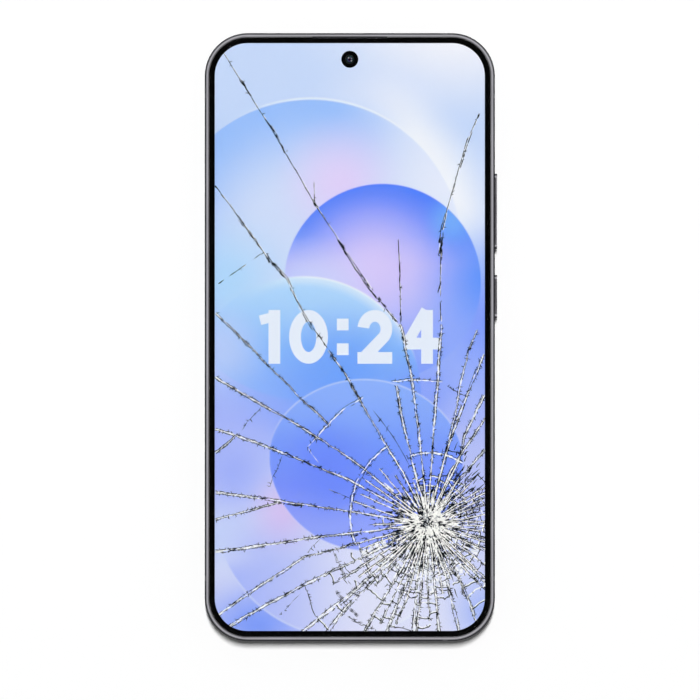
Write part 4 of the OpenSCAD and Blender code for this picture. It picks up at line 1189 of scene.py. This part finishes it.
def streaks(count, start, reach, width, tone, spread=None):
    """Straight strokes that point away from the impact. start and reach are ranges of radius
    and length, and spread limits the angles."""
    low, high = spread or (0, 360)
    for _ in range(count):
        angle = rng.uniform(low, high)
        r0 = rng.uniform(*start)
        length = rng.uniform(*reach)
        radius = r0 + np.linspace(0, length, 4)
        path = polar(angle + wander(4, 0.45, 1), radius)
        tone.add(path, rng.uniform(*width) * np.array([1, 1, 0.7, 0.2]), False)


streaks(64, (2.6, 4.8), (2.2, 4.6), (0.36, 0.6), bright)
streaks(60, (4.6, 6.6), (1.6, 3.2), (0.16, 0.26), bright)
streaks(90, (6, 18), (0.8, 2.4), (0.16, 0.26), dark)
streaks(50, (7, 14), (1.0, 3.4), (0.16, 0.26), dark, (196, 400))
streaks(60, (9, 15), (0.8, 2.6), (0.16, 0.28), dark, (-40, 55))
streaks(50, (9, 20), (1.0, 2.8), (0.16, 0.26), dark, (38, 72))
streaks(4, (11.6, 12.6), (2.0, 3.4), (0.3, 0.5), white, (136, 140))
streaks(60, (7, 15), (1.4, 3.6), (0.2, 0.34), white, (200, 335))


def specks(count, radii, size, tone):
    """Lens-shaped chips that point at the impact."""
    for _ in range(count):
        angle, r = rng.uniform(0, 360), rng.uniform(*radii)
        length = rng.uniform(*size)
        path = polar(np.full(3, angle) + wander(3, 0.8, 1), r + length * np.array([-0.5, 0, 0.5]))
        tone.add(path, length * rng.uniform(0.4, 0.6) * np.array([0.15, 1, 0.15]), False)


specks(44, (0.9, 3.9), (0.35, 0.7), chips)
specks(30, (3.0, 5.8), (0.9, 1.6), chips)
specks(120, (3.8, 7.2), (0.5, 1.2), chips)
specks(110, (6.5, 11), (0.5, 1.4), chips)


def litter(centre, count, spread, size, width, tone):
    """Small lens-shaped chips that lie in all directions around one place."""
    for _ in range(count):
        middle = impact + np.array(centre) + rng.normal(0, spread, 2)
        angle = rng.uniform(0, math.pi)
        half = rng.uniform(*size) / 2 * np.array([math.cos(angle), math.sin(angle)])
        line = [middle - half, middle, middle + half]
        tone.add(line, rng.uniform(*width) * np.array([0.2, 1, 0.2]), False)


litter((-0.5, 0.7), 24, 0.8, (0.5, 1.4), (0.22, 0.38), chips)
litter((-0.6, 0.8), 24, 0.9, (0.5, 1.3), (0.3, 0.5), grey)
litter((0.6, -1.2), 12, 0.5, (0.6, 1.4), (0.4, 0.7), bright)
litter((1.0, -4.1), 9, 0.45, (0.5, 1.1), (0.4, 0.7), grey)
litter((0, 0), 40, 2.6, (0.3, 0.8), (0.2, 0.34), grey)


def crushed_spot():
    """The crushed glass at the impact: a closed patch on a grid of angle and radius. Its outline
    is a lumpy star, its top rises and falls in splinters that point inwards, with a hollow in
    the middle, and its underside is flat."""
    turns, rings = 220, 26
    angle = np.linspace(0, 360, turns, endpoint=False)
    a = np.radians(angle)
    lumps = 0.5 * np.sin(3 * a + 4.2) + 0.4 * np.sin(7 * a + 1) + 0.35 * np.sin(12 * a + 2)
    ragged = 4.9 + 0.5 * np.cos(a - 4.9) + lumps + 0.9 * (wander(turns, 0.5, 2) > 0.35)
    share = np.linspace(0, 1, rings) ** 0.8
    radius = 0.02 + share[:, None] * ragged[None, :]
    ripple = rng.normal(0, 1, (rings, turns))
    ripple = (ripple + np.roll(ripple, 1, 1) + np.roll(ripple, 1, 0)) / 1.7
    level = z_front - 0.12 + 0.03 * np.clip(ripple, -1.6, 1.6) * (0.3 + share[:, None])
    level -= 0.05 * np.exp(-(radius / 1.6) ** 2)
    level[-1] = z_front - 0.17
    courses = [np.column_stack([polar(angle, radius[k]), level[k]]) for k in reversed(range(rings))]
    foot = np.column_stack([polar(angle, radius[-1] * 0.96), np.full(turns, z_front - 0.24)])
    return loft([foot] + courses)


def crushed(name):
    """Crushed glass: cream white, with grey and dark flecks drawn out away from the impact."""
    material, g = new_finish(name, 0.0, 0.5, 0.3)
    away = g.vector("SUBTRACT", g.place(), (*impact, 0.0))
    x, y = g.add("SeparateXYZ", away).outputs[:2]
    turn = g.product(g.maths("ARCTAN2", y, x), 7.0)
    reach = g.vector("LENGTH", g.vector("MULTIPLY", away, (1.0, 1.0, 0.0)))
    fan = g.add("CombineXYZ", turn, g.product(reach, 0.8), 0.0).outputs[0]
    rays = g.noise(fan, 1.0, 3.0, 0.6)
    crumbs = g.noise(away, 1.7, 3.0, 0.65)
    mixed = g.maths("ADD", g.product(rays, 0.5), g.product(crumbs, 0.5))
    g.feed(g.shader.inputs["Base Color"], g.ramp(mixed, [
        (0.0, (0.02, 0.02, 0.02, 1)),
        (0.38, (0.10, 0.10, 0.11, 1)),
        (0.43, (0.42, 0.43, 0.44, 1)),
        (0.48, (0.80, 0.80, 0.77, 1)),
        (0.55, (0.93, 0.93, 0.89, 1)),
        (1.0, (0.98, 0.98, 0.95, 1)),
    ]))
    g.bump(mixed, 0.05)
    return material


shard_white = splinter("splinter_white", (0.76, 0.79, 0.82), (0.96, 0.97, 1.0))
shard_cream = splinter("splinter_cream", (0.8, 0.8, 0.78), (0.98, 0.98, 0.95))
shard_grey = splinter("splinter_grey", (0.18, 0.20, 0.22), (0.55, 0.58, 0.61))
shard_dark = splinter("splinter_dark", (0.004, 0.005, 0.007), (0.026, 0.03, 0.036), 0.9, 0.05)
publish("crushed_spot", *crushed_spot(), crushed("crushed_white"), "cover_glass", 20)
# The dark and grey pieces hold crack lines and also painted shade on splinter facets near the impact.
dark.build("crack_lines_and_facet_shade_dark", shard_dark)
grey.build("crack_faces_and_facet_shade_grey", shard_grey)
white.build("crack_faces_white", shard_white)
bright.build("crack_cores_white", shard_cream)
chips.build("crushed_specks", shard_dark)
for tone, low, high in (
    ("slate", (0.02, 0.022, 0.03), (0.12, 0.125, 0.14)),
    ("ash", (0.2, 0.21, 0.24), (0.5, 0.51, 0.55)),
    ("milk", (0.62, 0.66, 0.8), (0.9, 0.91, 0.94)),
):
    publish("cells_" + tone, *joined(cells[tone]), splinter("cell_" + tone, low, high), "cover_glass")


# The clock on the screen ---------------------------------------------------------------------


def oval(cx, cy, rx, ry, stroke):
    """A flat ring of even stroke along an ellipse."""
    circle = around(64)
    outer = np.array([cx, cy]) + circle * [rx + stroke / 2, ry + stroke / 2]
    inner = np.array([cx, cy]) + circle * [rx - stroke / 2, ry - stroke / 2]
    return flat_ring(outer, inner, digits_low, digits_high)


def bar(path, stroke):
    """A flat bar of even stroke along a path."""
    middle, rise = (digits_low + digits_high) / 2, (digits_high - digits_low) / 2
    return ribbon(np.asarray(path, float), stroke, middle, rise, FLAT)


def digit(mark, left, low, wide, high, stroke):
    """Solids of one digit whose outline fills a box from left and low, wide by high."""
    s = stroke / 2
    x0, x1, y0, y1 = left + s, left + wide - s, low + s, low + high - s
    cx, cy, rx, ry = (x0 + x1) / 2, (y0 + y1) / 2, (x1 - x0) / 2, (y1 - y0) / 2
    if mark == "0":
        return [oval(cx, cy, rx, ry, stroke)]
    if mark == "1":
        return [bar([(x1, y1 + s), (x1, y0 - s)], stroke),
                bar([(x0 - s, y1 - 1.1), (x1, y1 - 0.15)], stroke * 0.82)]
    if mark == "2":
        turn = np.linspace(math.pi * 0.97, -math.pi * 0.2, 30)
        bow = np.column_stack([cx + rx * np.cos(turn), y1 - 0.62 * ry * (1 - np.sin(turn))])
        return [bar(np.concatenate([bow, [(x0 + 0.4, y0 + 0.3)]]), stroke),
                bar([(x0 - s, y0), (x1 + s, y0)], stroke)]
    arm = y0 + 0.34 * (y1 - y0)
    stem = x0 + 0.74 * (x1 - x0)
    return [bar([(stem - 0.2, y1 + s), (x0, arm), (x0 + 0.1, arm)], stroke * 0.9),
            bar([(x0 - 0.6, arm), (x1 + s, arm)], stroke),
            bar([(stem, y1 + s), (stem, y0 - s)], stroke)]


def clock(marks, left, low, high, stroke, gap):
    """Flat lit digits in a row; marks pairs each sign with its width."""
    solids = []
    for mark, wide in marks:
        if mark == ":":
            for share in (0.27, 0.73):
                y = low + share * high
                solids.append(bar([(left, y), (left + stroke, y)], stroke))
        else:
            solids.extend(digit(mark, left, low, wide, high, stroke))
        left += wide + gap
    return joined(solids)


digits_low, digits_high = z_glass + 0.004, z_glass + 0.01
pale = self_lit("clock_light", shade(229, 238, 252))
marks = (("1", 5.0), ("0", 9.6), (":", 2.9), ("2", 8.6), ("4", 9.6))
publish("clock_digits", *clock(marks, -22.2, -6.6, 13.3, 2.9, 2.2), pale, "screen")


# Copies of CAD nodes with finer edges --------------------------------------------------------

for node, width in (
    ("frame", 0.05), ("antenna_breaks", 0.03), ("volume_key", 0.12), ("power_key", 0.12),
    ("sim_tray", 0.05), ("camera_plate", 0.35), ("lens_rings", 0.12), ("back_cover", 0.12),
    ("usb_shell", 0.05), ("usb_tongue", 0.05),
):
    refined(node, width)


# Lenses --------------------------------------------------------------------------------------


def turned_ring(profile, centre, steps=64):
    """A closed profile of (radius, level) pairs turned about an upright axis through centre. It
    runs anticlockwise: up its outside, in, and down its inside."""
    circle = around(steps)
    return loft([at_level(np.asarray(centre) + r * circle, z) for r, z in profile], closed=True)


def lens_coating(name, centres, radius):
    """A lens element: a black pupil, then violet and green tints in rings about its axis."""
    material, g = new_finish(name, 0.0, 0.06, 0.25)
    flat = g.vector("MULTIPLY", g.place(), (1.0, 1.0, 0.0))
    near = None
    for centre in centres:
        away = g.vector("DISTANCE", flat, (*centre, 0.0))
        near = away if near is None else g.maths("MINIMUM", near, away)
    g.feed(g.shader.inputs["Base Color"], g.ramp(g.maths("DIVIDE", near, radius), [
        (0.0, (0.001, 0.001, 0.002, 1)),
        (0.34, (0.004, 0.004, 0.010, 1)),
        (0.42, (0.06, 0.03, 0.14, 1)),
        (0.58, (0.018, 0.02, 0.06, 1)),
        (0.7, (0.012, 0.06, 0.045, 1)),
        (0.84, (0.006, 0.008, 0.012, 1)),
        (1.0, (0.002, 0.002, 0.003, 1)),
    ]))
    return material


rear_lenses = [middle_of(node) for node in ("main_camera", "wide_camera", "tele_camera")]
window_foot = box_mm("lens_windows")[0][2]      # level of the windows' outer face
face = box_mm("main_camera")[0][2]      # level of the camera barrels' front
pane = window_foot + 0.18               # level of the inner face of the thin panes
window_r = 4.4
aperture_r = 2.2                        # opening of the stepped baffle
element_r = 2.3
panes, baffles, elements = [], [], []
for centre in rear_lenses:
    panes.append(turned([(0, window_foot), (window_r - 0.1, window_foot),
                         (window_r, window_foot + 0.08), (window_r, pane), (0, pane)], centre, 64))
    baffles.append(turned_ring([(window_r, pane + 0.02), (window_r, face - 0.005),
                                (aperture_r, face - 0.005), (aperture_r, face - 0.04),
                                (2.75, face - 0.16), (2.85, face - 0.23), (3.4, face - 0.33),
                                (3.5, pane + 0.02)], centre))
    baffles.append(turned_ring([(3.14, pane + 0.11), (3.14, pane + 0.2), (3.0, pane + 0.2),
                                (3.0, pane + 0.11)], centre))
    turn = np.linspace(0, math.pi / 2, 12)
    dome = [(element_r * math.sin(t), face - 0.02 - 0.34 * math.cos(t)) for t in turn]
    elements.append(turned(dome + [(element_r, face - 0.008), (0, face - 0.008)], centre, 64))
baffle_black = grained("lens_baffle", (0.004, 0.004, 0.005), (0.012, 0.012, 0.014), 6.0, 0.0, 0.4)
publish("lens_panes", *joined(panes), clear_glass("lens_glass", 1.18), "camera_lens", 30,
        stands_for=["lens_windows"])
publish("lens_baffles", *joined(baffles), baffle_black, "camera_body", 25)
publish("lens_elements", *joined(elements), lens_coating("lens_element", rear_lenses, element_r),
        "camera_lens", 40)

flash_low, flash_high = box_mm("flash_lens")
flash_r = (flash_high[0] - flash_low[0]) / 2
ridges = [(0, flash_low[2])]
for k in range(6):
    ridges.append((flash_r * (0.14 + 0.14 * k), flash_low[2] + 0.01))
    ridges.append((flash_r * (0.15 + 0.14 * k), flash_low[2] + 0.09))
ridges += [(flash_r - 0.02, flash_low[2] + 0.02), (flash_r, flash_low[2] + 0.04),
           (flash_r, flash_high[2]), (0, flash_high[2])]
publish("flash_fresnel", *turned(ridges, middle_of("flash_lens"), 64), finishes["flash"], "flash",
        20, stands_for=["flash_lens"])

front_low, front_high = box_mm("front_camera_lens")
front_r = (front_high[0] - front_low[0]) / 2
turn = np.linspace(0, math.pi / 2, 9)[::-1]
front_dome = [(0, front_low[2]), (front_r, front_low[2])]
front_dome += [(front_r * math.sin(t), front_high[2] - 0.08 + 0.08 * math.cos(t)) for t in turn]
publish("front_camera_dome", *turned(front_dome, hole_centre, 48),
        lens_coating("front_lens_element", [hole_centre], front_r), "camera_lens", 40,
        stands_for=["front_camera_lens"])
# Painted glints: small grey discs printed under the glass in the camera's black disc, where the lens
# would catch the light.
glints = []
for dx, dy, size in ((-0.3, 0.35, 0.17), (0.4, -0.35, 0.2), (0.5, 0.25, 0.1)):
    spot = hole_centre + np.array([dx, dy])
    glints.append(turned([(0, ink_low), (size, ink_low), (size * 0.7, ink_high), (0, ink_high)],
                         spot, 16))
publish("front_camera_painted_glints", *joined(glints),
        grained("painted_glint_grey", (0.16, 0.16, 0.17), (0.36, 0.35, 0.35), 9.0, 0.0, 0.5),
        "camera_lens", 30)


# The room ------------------------------------------------------------------------------------


def seen_directly(g, path):
    """1 for light on its way to the camera, straight, off a gloss or through glass."""
    seen = g.maths("MAXIMUM", path["Is Camera Ray"], path["Is Glossy Ray"])
    return g.maths("MAXIMUM", seen, path["Is Transmission Ray"])


def studio_floor():
    """A wide pale floor that is clear from below, and to light on its way to a camera there."""
    mesh = bpy.data.meshes.new("floor")
    reach, level = 4000.0, -0.02
    corners = np.array([(-reach, -reach), (reach, -reach), (reach, reach), (-reach, reach)])
    mesh.from_pydata((at_level(corners, level) * MM).tolist(), [], [(0, 1, 2, 3)])
    floor = bpy.data.objects.new("floor", mesh)
    scene.collection.objects.link(floor)
    material = bpy.data.materials.new("floor_white")
    g = Graph(material)
    g.shader.inputs["Base Color"].default_value = (0.93, 0.93, 0.93, 1)
    g.shader.inputs["Roughness"].default_value = 0.9
    g.shader.inputs["Specular IOR Level"].default_value = 0.0
    path = g.add("LightPath").outputs
    seen = seen_directly(g, path)
    lift = g.add("Emission")
    g.feed(lift.inputs["Strength"], g.product(seen, 0.03))
    both = g.add("AddShader", g.shader.outputs[0], lift.outputs[0])
    clear = g.add("BsdfTransparent")
    through = g.maths("GREATER_THAN", path["Transparent Depth"], 0.5)
    through = g.maths("MAXIMUM", g.add("NewGeometry").outputs["Backfacing"], through)
    choice = g.add("MixShader", through, both.outputs[0], clear.outputs[0])
    g.feed(g.tree.nodes["Material Output"].inputs["Surface"], choice.outputs[0])
    mesh.materials.append(material)


def studio_light():
    """A pale sky with a dark ceiling straight above, and one large soft lamp beyond the top
    edge, which leaves a soft shadow along the bottom edge. Metal and glass show the sky at its
    full strength, and the sky over the floor gives a tenth of the light."""
    world = bpy.data.worlds.new("studio")
    scene.world = world
    g = Graph(world)
    heading = g.add("TexCoord").outputs["Generated"]
    height = g.add("SeparateXYZ", heading).outputs[2]
    sky = g.ramp(g.maths("MULTIPLY_ADD", height, 0.5, 0.5), [
        (0.0, (0.8, 0.8, 0.8, 1)),
        (0.5, (0.85, 0.85, 0.85, 1)),
        (0.58, (1.0, 1.0, 1.0, 1)),
        (0.86, (1.15, 1.15, 1.15, 1)),
        (0.93, (0.8, 0.8, 0.8, 1)),
        (0.972, (0.4, 0.4, 0.4, 1)),
        (0.99, (0.06, 0.06, 0.06, 1)),
        (1.0, (0.0, 0.0, 0.0, 1)),
    ])
    seen = seen_directly(g, g.add("LightPath").outputs)
    background = g.tree.nodes["Background"]
    g.feed(background.inputs["Color"], sky)
    above = g.maths("MULTIPLY_ADD", seen, 0.9, 0.1)
    below = g.maths("LESS_THAN", height, 0.0)
    g.feed(background.inputs["Strength"], g.maths("MAXIMUM", above, below))
    lamp = bpy.data.lights.new("soft_lamp", "AREA")
    lamp.shape = "RECTANGLE"
    lamp.size = 0.12
    lamp.size_y = 0.7
    lamp.energy = 156.0
    holder = bpy.data.objects.new("soft_lamp", lamp)
    distance, elevation = 4, math.radians(80)
    holder.location = (0.0, distance * math.cos(elevation), distance * math.sin(elevation))
    holder.rotation_euler = (-(math.pi / 2 - elevation), 0.0, 0.0)
    holder.visible_glossy = False
    scene.collection.objects.link(holder)


def straight_above():
    """The camera looks straight down through a long lens, a little below the screen's middle."""
    camera = bpy.data.cameras.new("camera")
    camera.lens = 312.0
    camera.sensor_width = 36.0
    camera.clip_start = 0.05
    camera.clip_end = 10.0
    holder = bpy.data.objects.new("camera", camera)
    holder.location = (0.00005, -0.0032, 1.5 + z_front * MM)
    scene.collection.objects.link(holder)
    scene.camera = holder


studio_floor()
studio_light()
straight_above()
scene.view_settings.view_transform = "Standard"
